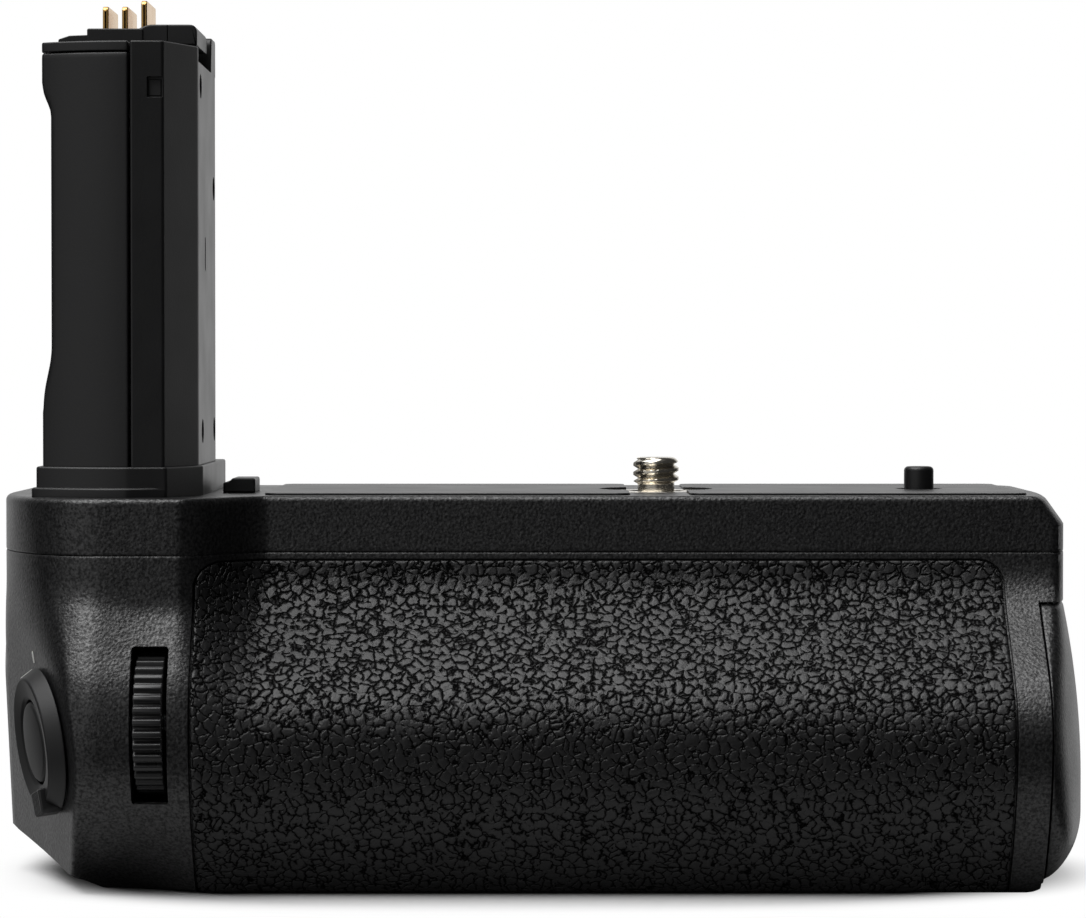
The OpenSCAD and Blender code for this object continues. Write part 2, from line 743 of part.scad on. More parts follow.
// Knurled wheel with its pinion
module attachment_wheel() {
    color("#303032")
        difference() {
            translate([0, gear_y, 0]) {
                translate([0, 0, rim_z])
                    linear_extrude(rim_t)
                        ribbed(wheel_d / 2, 48, 0.6);
                translate([0, 0, bracket_z + bracket_t + 0.2])
                    cylinder(r = 4, h = gear_z - bracket_z - bracket_t);
                translate([0, 0, gear_z])
                    rotate(180 / pinion_teeth - 90)
                        linear_extrude(gear_t)
                            gear_outline(pinion_teeth);
            }
            along_z(bracket_z - 1, seat_z, 0, gear_y, axle_d / 2 + 0.05);
        }
}

// Camera screw: thread crests, plain neck, shoulder, shaft and lower journal
module attachment_screw() {
    r = screw_d / 2;
    root = r - 0.5 * screw_pitch;
    tip = seat_z + screw_up;
    foot = seat_z + 0.75;
    flank = 0.33 * screw_pitch;
    crests = floor((screw_up - 0.75 - 1.2) / screw_pitch);
    end = foot + crests * screw_pitch;
    color("#c6c8ca")
        rotate_extrude()
            polygon(concat([[0, bracket_z], [2.5, bracket_z], [2.5, gear_z - 1], [r + 1.6, gear_z - 1],
                [r + 1.6, gear_z - 0.1], [r - 0.2, gear_z - 0.1], [r - 0.2, gear_z + gear_t + 0.1],
                [r + 1.6, gear_z + gear_t + 0.1], [r + 1.6, under_seat - 0.8],
                [screw_shoulder, under_seat - 0.8], [screw_shoulder, seat_z - 0.15], [root, seat_z]],
                [for (i = [0:crests - 1]) let (z = foot + i * screw_pitch) each
                    [[root, z], [r, z + flank], [r, z + 0.59 * screw_pitch],
                        [root, z + 0.59 * screw_pitch + flank]]],
                [[root, end], [r, end + flank], [r, tip - 0.7], [r - 0.7, tip - 0.12],
                    [r - 1, tip], [0, tip]]));
}

module screw_gear() {
    color("#b08d4a")
        difference() {
            translate([0, 0, gear_z])
                rotate(90)
                    linear_extrude(gear_t)
                        gear_outline(gear_teeth);
            along_z(gear_z - 1, gear_z + 9, 0, 0, screw_d / 2 - 0.2);
        }
}

// Housing behind the slanted face: a groove for the ring and a guide for the button stem
module shutter_housing() {
    color("#3a3b3d")
        at_shutter()
            difference() {
                translate([0, 0, -7.7])
                    cylinder(r = 8.6, h = 7.2 - facet_wall);
                translate([0, 0, -6.8])
                    difference() {
                        cylinder(r = 7.1, h = 9);
                        cylinder(r = 4.4, h = 9);
                    }
                translate([0, 0, -11])
                    cylinder(r = 1.56, h = 20);
            }
}

module shutter_switch() {
    color("#1d1d1e")
        at_shutter() {
            translate([-3, -3, -9.9])
                cube([6, 6, 0.8]);
            translate([0, 0, -9.2])
                cylinder(r = 1.2, h = 1.3 - button_travel);
            for (a = [45:90:315])
                rotate(a)
                    translate([3.2, 0, -9.5])
                        cylinder(r = 0.6, h = 1.8);
        }
}

module shutter_button() {
    color("#353538")
        at_shutter()
            rotate_extrude()
                polygon(concat([[0, -7.8], [1.5, -7.8], [1.5, -2], [3.6, -2], [3.6, 0.2],
                    [button_d / 2 - 0.1, 0.2], [button_d / 2, 0.3], [button_d / 2, 1.5]],
                    [for (a = [0:15:75]) [button_d / 2 - 0.6 + 0.6 * cos(a), 1.5 + 0.6 * sin(a)]],
                    [[button_d / 2 - 0.7, 2.12], [button_d / 4, 2.3], [0, 2.35]]));
}

// Ring around the button with a ribbed lever at its lower edge
module shutter_lock_ring() {
    ri = button_d / 2 + 0.28;
    ro = lock_d / 2;
    color("#2b2b2d")
        at_shutter() {
            rotate_extrude()
                polygon([[ri, -0.4], [ri, 1.5], [ri + 0.3, 1.8], [mix(ri, ro, 0.5), 1.75], [ro - 0.8, 1.4],
                    [ro - 0.15, 0.9], [ro, 0.35], [ro - 0.1, 0.25], [7.1 - 0.1, 0.25], [7.1 - 0.1, -6.5],
                    [ri + 0.4, -6.5], [ri + 0.4, -0.4]]);
            rotate(14)
                difference() {
                    translate([0, 0, 0.25])
                        linear_extrude(2.6)
                            polygon([[ro - 1.6, -2.7], [ro + 1.2, -2.2], [ro + 1.7, -1.6], [ro + 1.7, 1.6],
                                [ro + 1.2, 2.2], [ro - 1.6, 2.7]]);
                    for (y = [-1.2, 0, 1.2])
                        translate([ro - 2, y - 0.22, 2.35])
                            cube([5, 0.44, 1]);
                }
        }
}

// Two cheeks and a back plate around a dial; s is 1 for the thumb side and -1 for the finger side
module dial_carrier(x, y, z, s, reach, depth) {
    side = dial_w / 2 + 0.5;
    difference() {
        union() {
            for (k = [-1, 1])
                translate([x + k * (side + 0.6), y, z])
                    translate([-0.6, s > 0 ? -depth : -reach, -4])
                        cube([1.2, reach + depth, 8]);
            translate([x - side - 1.2, s > 0 ? y - depth - 1.2 : y + depth, z - 4])
                cube([2 * side + 2.4, 1.2, 8]);
        }
        along_x(x - 9, x + 9, y, z, axle_d / 2 + 0.02);
    }
}

module dial_wheel(x, y, z, d) {
    difference() {
        translate([x - dial_w / 2, y, z])
            rotate([90, 0, 90])
                linear_extrude(dial_w)
                    ribbed(d / 2, dial_ribs, 0.55);
        along_x(x - 9, x + 9, y, z, axle_d / 2 + 0.05);
    }
}

module front_dial_carrier() {
    color("#3a3b3d")
        dial_carrier(dial_x, dial_y, dial_z, -1, 4, dial_d / 2 + 0.6);
}

module front_dial_axle() {
    color("#a8aaad")
        along_x(dial_x - dial_w / 2 - 1.9, dial_x + dial_w / 2 + 1.9, dial_y, dial_z, axle_d / 2);
}

module front_dial() {
    color("#303032")
        dial_wheel(dial_x, dial_y, dial_z, dial_d);
}

module rear_dial_carrier() {
    color("#3a3b3d")
        dial_carrier(rear_dial_x, rear_dial_y, rear_dial_z, 1, 1.6, rear_dial_d / 2 + 0.6);
}

module rear_dial_axle() {
    color("#a8aaad")
        along_x(rear_dial_x - dial_w / 2 - 1.9, rear_dial_x + dial_w / 2 + 1.9, rear_dial_y, rear_dial_z,
            axle_d / 2);
}

module rear_dial() {
    color("#303032")
        dial_wheel(rear_dial_x, rear_dial_y, rear_dial_z, rear_dial_d);
}

module rear_board() {
    color("#1f4a33")
        difference() {
            union() {
                block(focus_x - 6.4, stick_x + 6.4, board_y, board_y + board_t, 7, 34);
                for (p = [[focus_x + 5.5, 9], [focus_x + 5.5, 32]])
                    along_y(board_y, board_y + 4.6, p[0], p[1], 1.6);
            }
            along_y(board_y - 1, board_y + 9, stick_x, stick_z, 1);
        }
}

module rear_switches() {
    y0 = board_y + board_t;
    color("#1d1d1e")
        for (z = [focus_z, func_z]) {
            block(focus_x - 2.6, focus_x + 2.6, y0, y0 + 1, z - 2.6, z + 2.6);
            along_y(y0 + 0.9, y0 + 1.4, focus_x, z, 1.2);
        }
}

// Push button with a flange behind the wall
module rear_button(z, r) {
    top = rear_at(z) + 1;
    inner = min(rear_at(z - r - 1), rear_at(z + r + 1)) - wall - skin_depth;
    along_y(board_y + board_t + 2.6, top - 0.4, focus_x, z, r);
    along_y(board_y + board_t + 2.6, inner - 0.45, focus_x, z, r + 0.9);
    along_y(top - 0.5, top, focus_x, z, r - 0.4);
}

module focus_button() {
    color("#303032")
        rear_button(focus_z, 4);
}

module function_button() {
    color("#303032")
        rear_button(func_z, 3.2);
}

// Joystick: a fixed socket, a gimbal that turns on X and a stick that turns on Z in it
module joystick_socket() {
    color("#3a3b3d")
        difference() {
            union() {
                block(stick_x - 5.6, stick_x + 5.6, board_y + board_t, board_y + board_t + 0.5, stick_z - 3,
                    stick_z + 3);
                for (k = [-1, 1])
                    translate([stick_x + k * 4.9, 0, stick_z])
                        block(-0.7, 0.7, board_y + board_t, stick_y + 1.2, -1.4, 1.4);
            }
            along_x(stick_x - 9, stick_x + 9, stick_y, stick_z, 0.66);
        }
}

module joystick_gimbal() {
    color("#6c6e71")
        difference() {
            union() {
                along_y(stick_y - 0.9, stick_y + 0.9, stick_x, stick_z, 3.9);
                along_x(stick_x - 5.5, stick_x + 5.5, stick_y, stick_z, 0.6);
            }
            along_y(stick_y - 2, stick_y + 2, stick_x, stick_z, 2.9);
            along_z(stick_z - 9, stick_z + 9, stick_x, stick_y, 0.66);
        }
}

module joystick() {
    color("#2b2b2d")
        translate([stick_x, stick_y, stick_z]) {
            rotate([-90, 0, 0])
                rotate_extrude()
                    polygon([[0, -1.2], [1.2, -1.2], [2, -0.6], [2, 0.6], [1.3, 1.4], [1.3, 3], [2.4, 4],
                        [3.6, 4.6], [3.6, 5.4], [3.2, 5.8], [2.4, 5.6], [1, 5.2], [0, 5.1]]);
            translate([0, 0, -3.7])
                cylinder(r = 0.6, h = 7.4);
        }
}

// Open tray with two bays
module tray_frame() {
    bay = battery_w + 0.4;
    color("#303032")
        difference() {
            block(tray_x0, cap_x + cap_seam + 1, tray_y0, tray_y1, tray_z, tray_z + tray_h);
            for (i = [0, 1])
                translate([tray_x0 + tray_wall + i * (bay + tray_wall), 0, 0])
                    block(0, bay, tray_y0 + tray_wall, tray_y1 - tray_wall, tray_z + tray_floor,
                        tray_z + tray_h + 9);
        }
}

// Bulged end of the body that comes out with the tray
module tray_end_cap() {
    function bulge(z) = body_right + cap_bulge - cap_bulge * pow(max(0, (z - 14) / (cap_top - 14)), 2)
        - corner(z - 1.2, 8.5) * 0.75;
    function ring(z, e) = let (x0 = cap_x + cap_seam, x1 = bulge(z) - e,
        xs = concat([x0], [for (s = [1, 0.7, 0.44, 0.24, 0.1, 0.024, 0]) x1 - s * (x1 - x0) * 0.8]))
        concat([for (x = xs) [x, front_at(x, z, 99, 99) + corner(x1 - x, 4) + e, z]],
            [for (i = [len(xs) - 1:-1:0]) [xs[i], rear_at(z) - corner(x1 - xs[i], 4) - e, z]]);
    color("#2a2a2c")
        difference() {
            loft(concat([ring(1.2, 1)],
                [for (z = [2.2, 4, 6.5, 9.7, 13, 17, bulge_z, 26, 29, 32, 35]) ring(z, 0)],
                [ring(cap_top - 0.8, 0), ring(cap_top - 0.3, 0.5)]));
            block(cap_x, cap_x + 3.4, tray_y0 - 0.05, tray_y1 + 0.05, tray_z - 0.05, tray_z + tray_h + 0.05);
            along_x(cap_x, cap_x + 20, 0, latch_z, 2.05);
            along_x(cap_x + 3.6, cap_x + 20, 0, latch_z, latch_r + 0.3);
            gasket_shape(0.05);
        }
}

// Seal around the tray mouth
module gasket_shape(gap) {
    y0 = tray_y0 - 1.6;
    y1 = tray_y1 + 1.6;
    difference() {
        block(cap_x + cap_seam - gap, cap_x + 1 + gap, y0 - gap, y1 + gap, tray_z - 1.6 - gap,
            tray_z + tray_h + 1.3 + gap);
        block(cap_x - 1, cap_x + 2, y0 + 0.9 + gap, y1 - 0.9 - gap, tray_z - 0.7 + gap,
            tray_z + tray_h + 0.4 - gap);
    }
}

module tray_gasket() {
    color("#161616")
        gasket_shape(0);
}

module tray_contacts() {
    color("#c9a04a")
        for (y = [-18, -8, 4, 14])
            block(tray_x0 - 0.25, tray_x0, y - 2, y + 2, tray_z + 4, tray_z + 14);
}

module battery(i) {
    x = tray_x0 + tray_wall + 0.2 + i * (battery_w + 0.4 + tray_wall);
    y = tray_y0 + tray_wall + 0.2;
    z = tray_z + tray_floor + 0.05;
    color("#3b3c40")
        translate([0, 0, z])
            linear_extrude(battery_t)
                rounded(x, x + battery_w, y, y + battery_l, 2);
}

module battery_1() {
    battery(0);
}

module battery_2() {
    battery(1);
}

// Quarter-turn latch: a finned disc outside, a tongue behind the end wall
module tray_latch() {
    color("#343436") {
        along_x(cap_x + 3.9, cap_x + 4.7, 0, latch_z, latch_r);
        along_x(end_wall - 2, cap_x + 4.2, 0, latch_z, 1.95);
        translate([cap_x + 5, 0, latch_z])
            cube([1.2, 2 * latch_r - 1.6, 1.5], center = true);
        translate([end_wall - 1.1, 0, latch_z])
            cube([1.6, 6.4, 3], center = true);
    }
}

upper_shell();
lower_shell();
front_grip_rubber();
rear_grip_rubber();
seat_pads();
seat_key();
locating_pin();
screw_bush();
tripod_socket();
case_screws();
stalk_collar();
stalk_frame();
stalk_cover();
stalk_cap();
contact_block();
contact_blades();
stalk_screws();
stalk_ribbon();
main_board();
battery_chamber();
chamber_terminals();
gear_bracket();
wheel_axle();
attachment_wheel();
attachment_screw();
screw_gear();
shutter_housing();
shutter_switch();
shutter_button();
shutter_lock_ring();
front_dial_carrier();
front_dial_axle();
front_dial();
rear_dial_carrier();
rear_dial_axle();
rear_dial();
rear_board();
rear_switches();
focus_button();
function_button();
joystick_socket();
joystick_gimbal();
joystick();
tray_frame();
tray_end_cap();
tray_gasket();
tray_contacts();
battery_1();
battery_2();
tray_latch();
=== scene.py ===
# %% [markdown]
# # A camera battery grip
# The grip screws under a camera: a stalk goes up into the battery bay, a screw holds the camera down, and a second
# shutter button and dials sit at the left end. The CAD frame already holds every solid and joint. This lesson
# dresses it: each visible piece is rebuilt with finer surfaces and rounded edges, and each gets its finish.

# %% Load the frame
import json
import math

import bmesh
import bpy
import numpy as np
from mathutils import Matrix, Vector


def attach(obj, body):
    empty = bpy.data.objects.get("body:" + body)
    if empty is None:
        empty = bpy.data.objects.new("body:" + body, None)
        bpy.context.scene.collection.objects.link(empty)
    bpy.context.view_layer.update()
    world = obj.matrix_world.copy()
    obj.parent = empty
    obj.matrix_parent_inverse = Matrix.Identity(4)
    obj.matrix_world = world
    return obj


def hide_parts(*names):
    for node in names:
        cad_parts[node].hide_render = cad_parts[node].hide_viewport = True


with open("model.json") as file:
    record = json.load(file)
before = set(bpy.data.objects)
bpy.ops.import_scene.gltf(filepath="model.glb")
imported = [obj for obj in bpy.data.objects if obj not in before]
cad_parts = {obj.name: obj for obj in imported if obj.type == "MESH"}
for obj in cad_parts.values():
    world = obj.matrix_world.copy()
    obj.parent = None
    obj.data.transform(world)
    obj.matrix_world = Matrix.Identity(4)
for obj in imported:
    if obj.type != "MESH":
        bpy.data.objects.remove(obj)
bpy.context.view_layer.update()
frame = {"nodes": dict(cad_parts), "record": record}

# %% [markdown]
# ## Small tools
# Sizes below are in millimetres, as on a drawing, and Blender works in metres. Colours are written as sRGB hex, the
# way a paint chart gives them, and shaders need linear light, so one function converts them. One more function adds
# a shader node with its settings and links, which keeps each material readable from top to bottom.

# %% Units, colours and nodes
MM = 0.001


def linear(code):
    parts = [int(code[i:i + 2], 16) / 255 for i in (1, 3, 5)]
    return tuple(v / 12.92 if v <= 0.04045 else ((v + 0.055) / 1.055) ** 2.4 for v in parts) + (1.0,)


def per_mm(size):
    """Texture scale at which one cell of a pattern is that many millimetres wide."""
    return 1 / (size * MM)


def add(tree, kind, inputs=None, stops=(), **settings):
    """Adds a shader node. A node given as an input stands for its first output; stops colour a ramp."""
    node = tree.nodes.new("ShaderNode" + kind)
    for key, value in settings.items():
        setattr(node, key, value)
    for key, value in (inputs or {}).items():
        value = value.outputs[0] if isinstance(value, bpy.types.Node) else value
        if isinstance(value, bpy.types.NodeSocket):
            tree.links.new(value, node.inputs[key])
        else:
            node.inputs[key].default_value = value
    for i, (position, code) in enumerate(stops):
        stop = node.color_ramp.elements[i]
        stop.position, stop.color = position, linear(code)
    return node


def new_finish(name):
    """An empty material, its node tree, and the coordinates that fix a pattern to the piece."""
    material = bpy.data.materials.new(name)
    material.use_nodes = True
    tree = material.node_tree
    tree.nodes.clear()
    return material, tree, add(tree, "TexCoord").outputs["Object"]


print("mid grey #808080 is", round(linear("#808080")[0], 3), "in linear light")

# %% [markdown]
# ## Finish 1: moulded ABS with an eroded grain
# The shells are black ABS from a mould whose walls were spark eroded. Erosion leaves pits of about a third of a
# millimetre, so the eye sees a soft sheen that breaks into specks where light grazes it. A cell pattern gives the
# pits, a slower noise varies how shiny they are, and the Bevel node rounds the moulded edges a little.

# %% Shell finish
shell_black, tree, place_on = new_finish("ABS_spark_eroded_black")
pits = add(tree, "TexVoronoi", {"Vector": place_on, "Scale": per_mm(0.36)}, feature="SMOOTH_F1")
grit = add(tree, "TexNoise", {"Vector": place_on, "Scale": per_mm(0.42), "Roughness": 0.6})
height = add(tree, "Math", {0: pits, 1: grit}, operation="ADD")
edges = add(tree, "Bevel", {"Radius": 0.18 * MM})
relief = add(tree, "Bump", {"Strength": 0.5, "Distance": 0.09 * MM, "Height": height, "Normal": edges})
patch = add(tree, "TexNoise", {"Vector": place_on, "Scale": per_mm(9.0)})
sheen = add(tree, "MapRange", {"Value": patch, "To Min": 0.35, "To Max": 0.44})
tone = add(tree, "ValToRGB", {"Fac": grit}, stops=((0.35, "#0d0d0e"), (0.65, "#19191a")))
speck = add(tree, "MapRange", {"Value": grit, "From Min": 0.36, "From Max": 0.64, "To Min": 0.33, "To Max": 0.92})
abs_shader = add(tree, "BsdfPrincipled", {"Base Color": tone, "Roughness": sheen, "IOR": 1.5,
                                          "Specular IOR Level": speck, "Normal": relief})
add(tree, "OutputMaterial", {"Surface": abs_shader})
print("finish:", shell_black.name)

# %% [markdown]
# ## Finish 2: moulded rubber with a pebble grain
# The grips are soft rubber moulded with a leather grain: pebbles of about 1.3 mm, parted by creases a quarter of a
# millimetre wide that often stop short, with small pits between. The edge distance of a cell pattern draws the
# creases, a noise bends them, and a second noise closes some of them up. The creases are also rougher, and their
# colour and reflection are darkened there: painted shade in the creases.

# %% Rubber finish
grip_rubber, tree, place_on = new_finish("rubber_pebble_moulded_black")
bend = add(tree, "TexNoise", {"Vector": place_on, "Scale": per_mm(1.2)})
shift = add(tree, "VectorMath", {0: bend.outputs["Color"], 1: (0.5, 0.5, 0.5)}, operation="SUBTRACT")
moved = add(tree, "VectorMath", {0: shift, "Scale": 1.2 * MM}, operation="SCALE")
bent = add(tree, "VectorMath", {0: place_on, 1: moved}, operation="ADD")
cells = add(tree, "TexVoronoi", {"Vector": bent, "Scale": per_mm(1.3)}, feature="DISTANCE_TO_EDGE")
gate = add(tree, "TexNoise", {"Vector": place_on, "Scale": per_mm(1.1), "Detail": 1.0})
wide = add(tree, "MapRange", {"Value": gate, "From Min": 0.36, "From Max": 0.46, "To Min": 0.01, "To Max": 0.18})
line = add(tree, "MapRange", {"Value": cells, "From Max": wide}, interpolation_type="SMOOTHSTEP")
spots = add(tree, "TexVoronoi", {"Vector": bent, "Scale": per_mm(1.7)})
dot = add(tree, "MapRange", {"Value": spots, "From Min": 0.04, "From Max": 0.14}, interpolation_type="SMOOTHSTEP")
crease = add(tree, "Math", {0: line, 1: dot}, operation="MINIMUM")
dome = add(tree, "MapRange", {"Value": cells, "From Max": 0.35, "To Max": 0.2})
fine = add(tree, "TexNoise", {"Vector": place_on, "Scale": per_mm(0.25)})
pebble = add(tree, "Math", {0: crease, 1: dome}, operation="ADD")
height = add(tree, "Math", {0: fine, 1: 0.12, 2: pebble}, operation="MULTIPLY_ADD")
relief = add(tree, "Bump", {"Distance": 0.24 * MM, "Height": height})
# Painted shade: the crease mask darkens the colour here and weakens the reflection strength two lines below.
tone = add(tree, "ValToRGB", {"Fac": crease}, stops=((0.05, "#020202"), (0.6, "#161617")))
dull = add(tree, "MapRange", {"Value": crease, "To Min": 0.8, "To Max": 0.44})
lit = add(tree, "MapRange", {"Value": crease, "From Max": 0.5, "To Min": 0.02, "To Max": 0.5})
rubber_shader = add(tree, "BsdfPrincipled", {"Base Color": tone, "Roughness": dull, "IOR": 1.5,
                                             "Specular IOR Level": lit, "Normal": relief})
add(tree, "OutputMaterial", {"Surface": rubber_shader})
print("finish:", grip_rubber.name)

# %% [markdown]
# ## Finish 3: the plain plastics
# The stalk, the controls and the inner pieces are moulded too, but in plainer moulds: a satin one for the stalk, a
# polished one for the buttons and dials, a rough one where nobody looks. The same short recipe serves them all: a
# base colour, a fine moulding grain as bump, and a slow noise in the roughness, so no face is perfectly even. Edges
# are painted a little pale, a painted highlight. The Bevel node finds them: there its normal leans away from the
# face's own.

# %% Plain moulded finishes
def moulded(name, dark, light, rough, grain, depth, edge=0.12):
    material, tree, place_on = new_finish(name)
    grit = add(tree, "TexNoise", {"Vector": place_on, "Scale": per_mm(grain), "Detail": 3.0})
    slow = add(tree, "TexNoise", {"Vector": place_on, "Scale": per_mm(7.0)})
    edges = add(tree, "Bevel", {"Radius": edge * MM})
    face_normal = add(tree, "NewGeometry").outputs["Normal"]
    lean = add(tree, "VectorMath", {0: edges, 1: face_normal}, operation="DOT_PRODUCT").outputs["Value"]
    # Painted highlight: edges found by the Bevel normal are mixed a little towards pale grey.
    edge_highlight = add(tree, "MapRange", {"Value": lean, "From Min": 0.99, "From Max": 0.8, "To Max": 0.05})
    relief = add(tree, "Bump", {"Strength": 0.4, "Distance": depth * MM, "Height": grit, "Normal": edges})
    tone = add(tree, "ValToRGB", {"Fac": slow}, stops=((0.3, dark), (0.7, light)))
    shine = add(tree, "MapRange", {"Value": slow, "To Min": rough - 0.06, "To Max": rough + 0.06})
    tone_with_edge_highlight = add(tree, "Mix", {0: edge_highlight, 6: tone, 7: linear("#e0e0e0")}, data_type="RGBA").outputs[2]
    shader = add(tree, "BsdfPrincipled", {"Base Color": tone_with_edge_highlight, "Roughness": shine, "IOR": 1.5, "Normal": relief})
    add(tree, "OutputMaterial", {"Surface": shader})
    return material


stalk_black = moulded("polycarbonate_satin_black", "#0f0f10", "#151516", 0.42, 0.35, 0.03)
control_black = moulded("ABS_polished_black", "#0d0d0e", "#121213", 0.34, 0.3, 0.01)
button_black = moulded("ABS_satin_black", "#0a0a0b", "#0f0f10", 0.52, 0.3, 0.02)
dial_black = moulded("ABS_moulded_dial_black", "#1a1a1b", "#232324", 0.28, 0.3, 0.01)
inner_black = moulded("nylon_plain_black", "#131314", "#1a1a1b", 0.55, 0.6, 0.03)
battery_grey = moulded("polycarbonate_battery_case", "#2a2b2e", "#323337", 0.46, 0.4, 0.02)
laminate = moulded("glass_laminate_solder_mask", "#123a26", "#184a31", 0.35, 0.8, 0.01)
ribbon_film = moulded("polyimide_film", "#7a4716", "#8f5a22", 0.3, 1.2, 0.004)
white_fill = moulded("enamel_paint_filled_white", "#d8d8d4", "#e6e6e2", 0.5, 0.3, 0.01)
print("finishes:", stalk_black.name, control_black.name, inner_black.name)

# %% [markdown]
# ## Finish 4: the metals
# The camera screw is nickel-plated steel: turned, so fine rings follow its axis, then plated, which leaves a warm
# mirror. The contacts are stamped bronze under hard gold. Pins are ground, screws blackened, gears cut from brass.
# A metal's colour is its reflection, so each keeps the default IOR and differs in tint, roughness and tool marks.

# %% Metal finishes
def metal(name, tint, rough, marks, stretch, depth):
    material, tree, place_on = new_finish(name)
    along = add(tree, "Mapping", {"Vector": place_on, "Scale": stretch})
    lines = add(tree, "TexNoise", {"Vector": along, "Scale": per_mm(marks), "Detail": 4.0})
    relief = add(tree, "Bump", {"Strength": 0.35, "Distance": depth * MM, "Height": lines})
    shine = add(tree, "MapRange", {"Value": lines, "To Min": rough * 0.7, "To Max": rough * 1.4})
    shader = add(tree, "BsdfPrincipled", {"Base Color": linear(tint), "Metallic": 1.0, "Roughness": shine,
                                          "Normal": relief})
    add(tree, "OutputMaterial", {"Surface": shader})
    return material


nickel = metal("steel_turned_nickel_plated", "#d8d2c6", 0.2, 0.5, (0.2, 0.2, 4.0), 0.008)
gold = metal("bronze_stamped_gold_plated", "#d0a765", 0.24, 0.6, (1.0, 1.0, 0.3), 0.006)
black_steel = metal("steel_black_oxide", "#2c2c2e", 0.42, 0.4, (1.0, 1.0, 1.0), 0.01)
pin_steel = metal("steel_ground", "#a9abae", 0.28, 0.4, (0.3, 1.0, 1.0), 0.006)
bracket_alloy = metal("aluminium_stamped", "#9b9da1", 0.38, 0.7, (1.0, 0.3, 1.0), 0.01)
gear_brass = metal("brass_cut", "#b5904f", 0.3, 0.4, (1.0, 1.0, 0.3), 0.008)
print("finishes:", nickel.name, gold.name, pin_steel.name)

# %% [markdown]
# ## Mesh tools
# Every hard piece here is one of four things: a stack of outlines joined by a skin, a flat outline pushed along an
# axis, a profile turned on a lathe, or one of these with others cut out of it. Rounded edges are made by starting
# and ending a push with slightly smaller outlines. The cuts use the manifold boolean, which is quick and exact.

# %% Skins and cuts
def solid(name, points, faces, matrix=None):
    points = np.asarray(points, float)
    if matrix is not None:
        turn = np.array(matrix)
        points = points @ turn[:3, :3].T + turn[:3, 3]
    mesh = bpy.data.meshes.new(name)
    mesh.from_pydata((points * MM).tolist(), [], faces)
    shape = bmesh.new()
    shape.from_mesh(mesh)
    bmesh.ops.recalc_face_normals(shape, faces=shape.faces)
    shape.to_mesh(mesh)
    shape.free()
    obj = bpy.data.objects.new(name, mesh)
    bpy.context.scene.collection.objects.link(obj)
    return obj


def skin(name, rings, strips=False, matrix=None):
    """Joins a stack of closed outlines. Caps are single faces, or strips across where an outline runs out and back."""
    rings = np.asarray(rings, float)
    rows, count = rings.shape[:2]
    index = np.arange(rows * count).reshape(rows, count)
    ahead = np.roll(index, -1, axis=1)
    faces = np.stack([index[:-1], ahead[:-1], ahead[1:], index[1:]], -1).reshape(-1, 4).tolist()
    for row in (index[0], index[-1]):
        if strips:
            faces += [[row[i], row[i + 1], row[count - 2 - i], row[count - 1 - i]] for i in range(count // 2 - 1)]
        else:
            faces.append(row.tolist())
    return solid(name, rings.reshape(-1, 3), faces, matrix)


def carve(target, *tools, keep="DIFFERENCE"):
    for tool in tools:
        step = target.modifiers.new("cut", "BOOLEAN")
        step.operation, step.solver, step.object = keep, "MANIFOLD", tool
    graph = bpy.context.evaluated_depsgraph_get()
    mesh = bpy.data.meshes.new_from_object(target.evaluated_get(graph))
    target.modifiers.clear()
    target.data = mesh
    for tool in tools:
        bpy.data.objects.remove(tool)
    if not len(mesh.vertices):
        raise SystemExit("nothing is left of " + target.name)
    return target


def join(target, *tools):
    return carve(target, *tools, keep="UNION")


slot_of = {part["node"]: part["material_slot"] for part in frame["record"]["subparts"]}


def dress(obj, material, node=None, body="grip_body", smooth=38, slot=None):
    """Finishes a piece, ties it to its body, and hides the solid that it replaces."""
    obj.data.materials.clear()
    obj.data.materials.append(material)
    obj.data.shade_smooth()
    obj.data.set_sharp_from_angle(angle=math.radians(smooth))
    level = obj.modifiers.new("level_flats", "WEIGHTED_NORMAL")
    level.keep_sharp = True
    slot = slot or slot_of[node]
    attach(obj, body)
    if node:
        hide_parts(node)
    print(f"{obj.name}: {len(obj.data.vertices)} points on {body}")
    return obj


# %% [markdown]
# An outline is a closed list of points on a flat sheet. These functions draw outlines, round their corners and draw
# them in, which is all that the solids further down need.

# %% Outlines
AXES = {"x": (2, 0, 1), "y": (0, 2, 1), "z": (0, 1, 2)}


def rounded_rect(a0, a1, b0, b1, r, steps=7):
    turns = np.linspace(0, np.pi / 2, steps)
    points = []
    for ca, cb, start in ((a1 - r, b0 + r, -1), (a1 - r, b1 - r, 0), (a0 + r, b1 - r, 1), (a0 + r, b0 + r, 2)):
        angle = turns + start * np.pi / 2
        points.append(np.column_stack([ca + r * np.cos(angle), cb + r * np.sin(angle)]))
    return np.concatenate(points)


def around(steps):
    return np.arange(steps) * 2 * np.pi / steps


def disc(r, a=0.0, b=0.0, steps=64):
    angle = around(steps)
    return np.column_stack([a + r * np.cos(angle), b + r * np.sin(angle)])


def soften(points, r, steps=6):
    """Rounds every corner of an outline; r is one radius, or one for each corner."""
    points = np.asarray(points, float)
    radii = np.broadcast_to(r, len(points))
    t = np.linspace(0, 1, steps)[:, None]
    out = []
    for i, p in enumerate(points):
        back, on = points[i - 1] - p, points[(i + 1) % len(points)] - p
        a = p + back / np.linalg.norm(back) * min(radii[i], 0.49 * np.linalg.norm(back))
        b = p + on / np.linalg.norm(on) * min(radii[i], 0.49 * np.linalg.norm(on))
        out.append((1 - t) ** 2 * a + 2 * t * (1 - t) * p + t ** 2 * b if radii[i] > 0 else p[None, :])
    return np.concatenate(out)


def arc(a, b, r, steps=7):
    """A quarter round: points from beside its centre to above it."""
    return [(a + r * math.cos(t), b + r * math.sin(t)) for t in np.linspace(0, np.pi / 2, steps)]


def quarter(r, steps=7):
    """Heights and insets that round an edge off by r, from the outside in."""
    return [(r * (1 - math.cos(t)), r * (1 - math.sin(t))) for t in np.linspace(0, np.pi / 2, steps)]


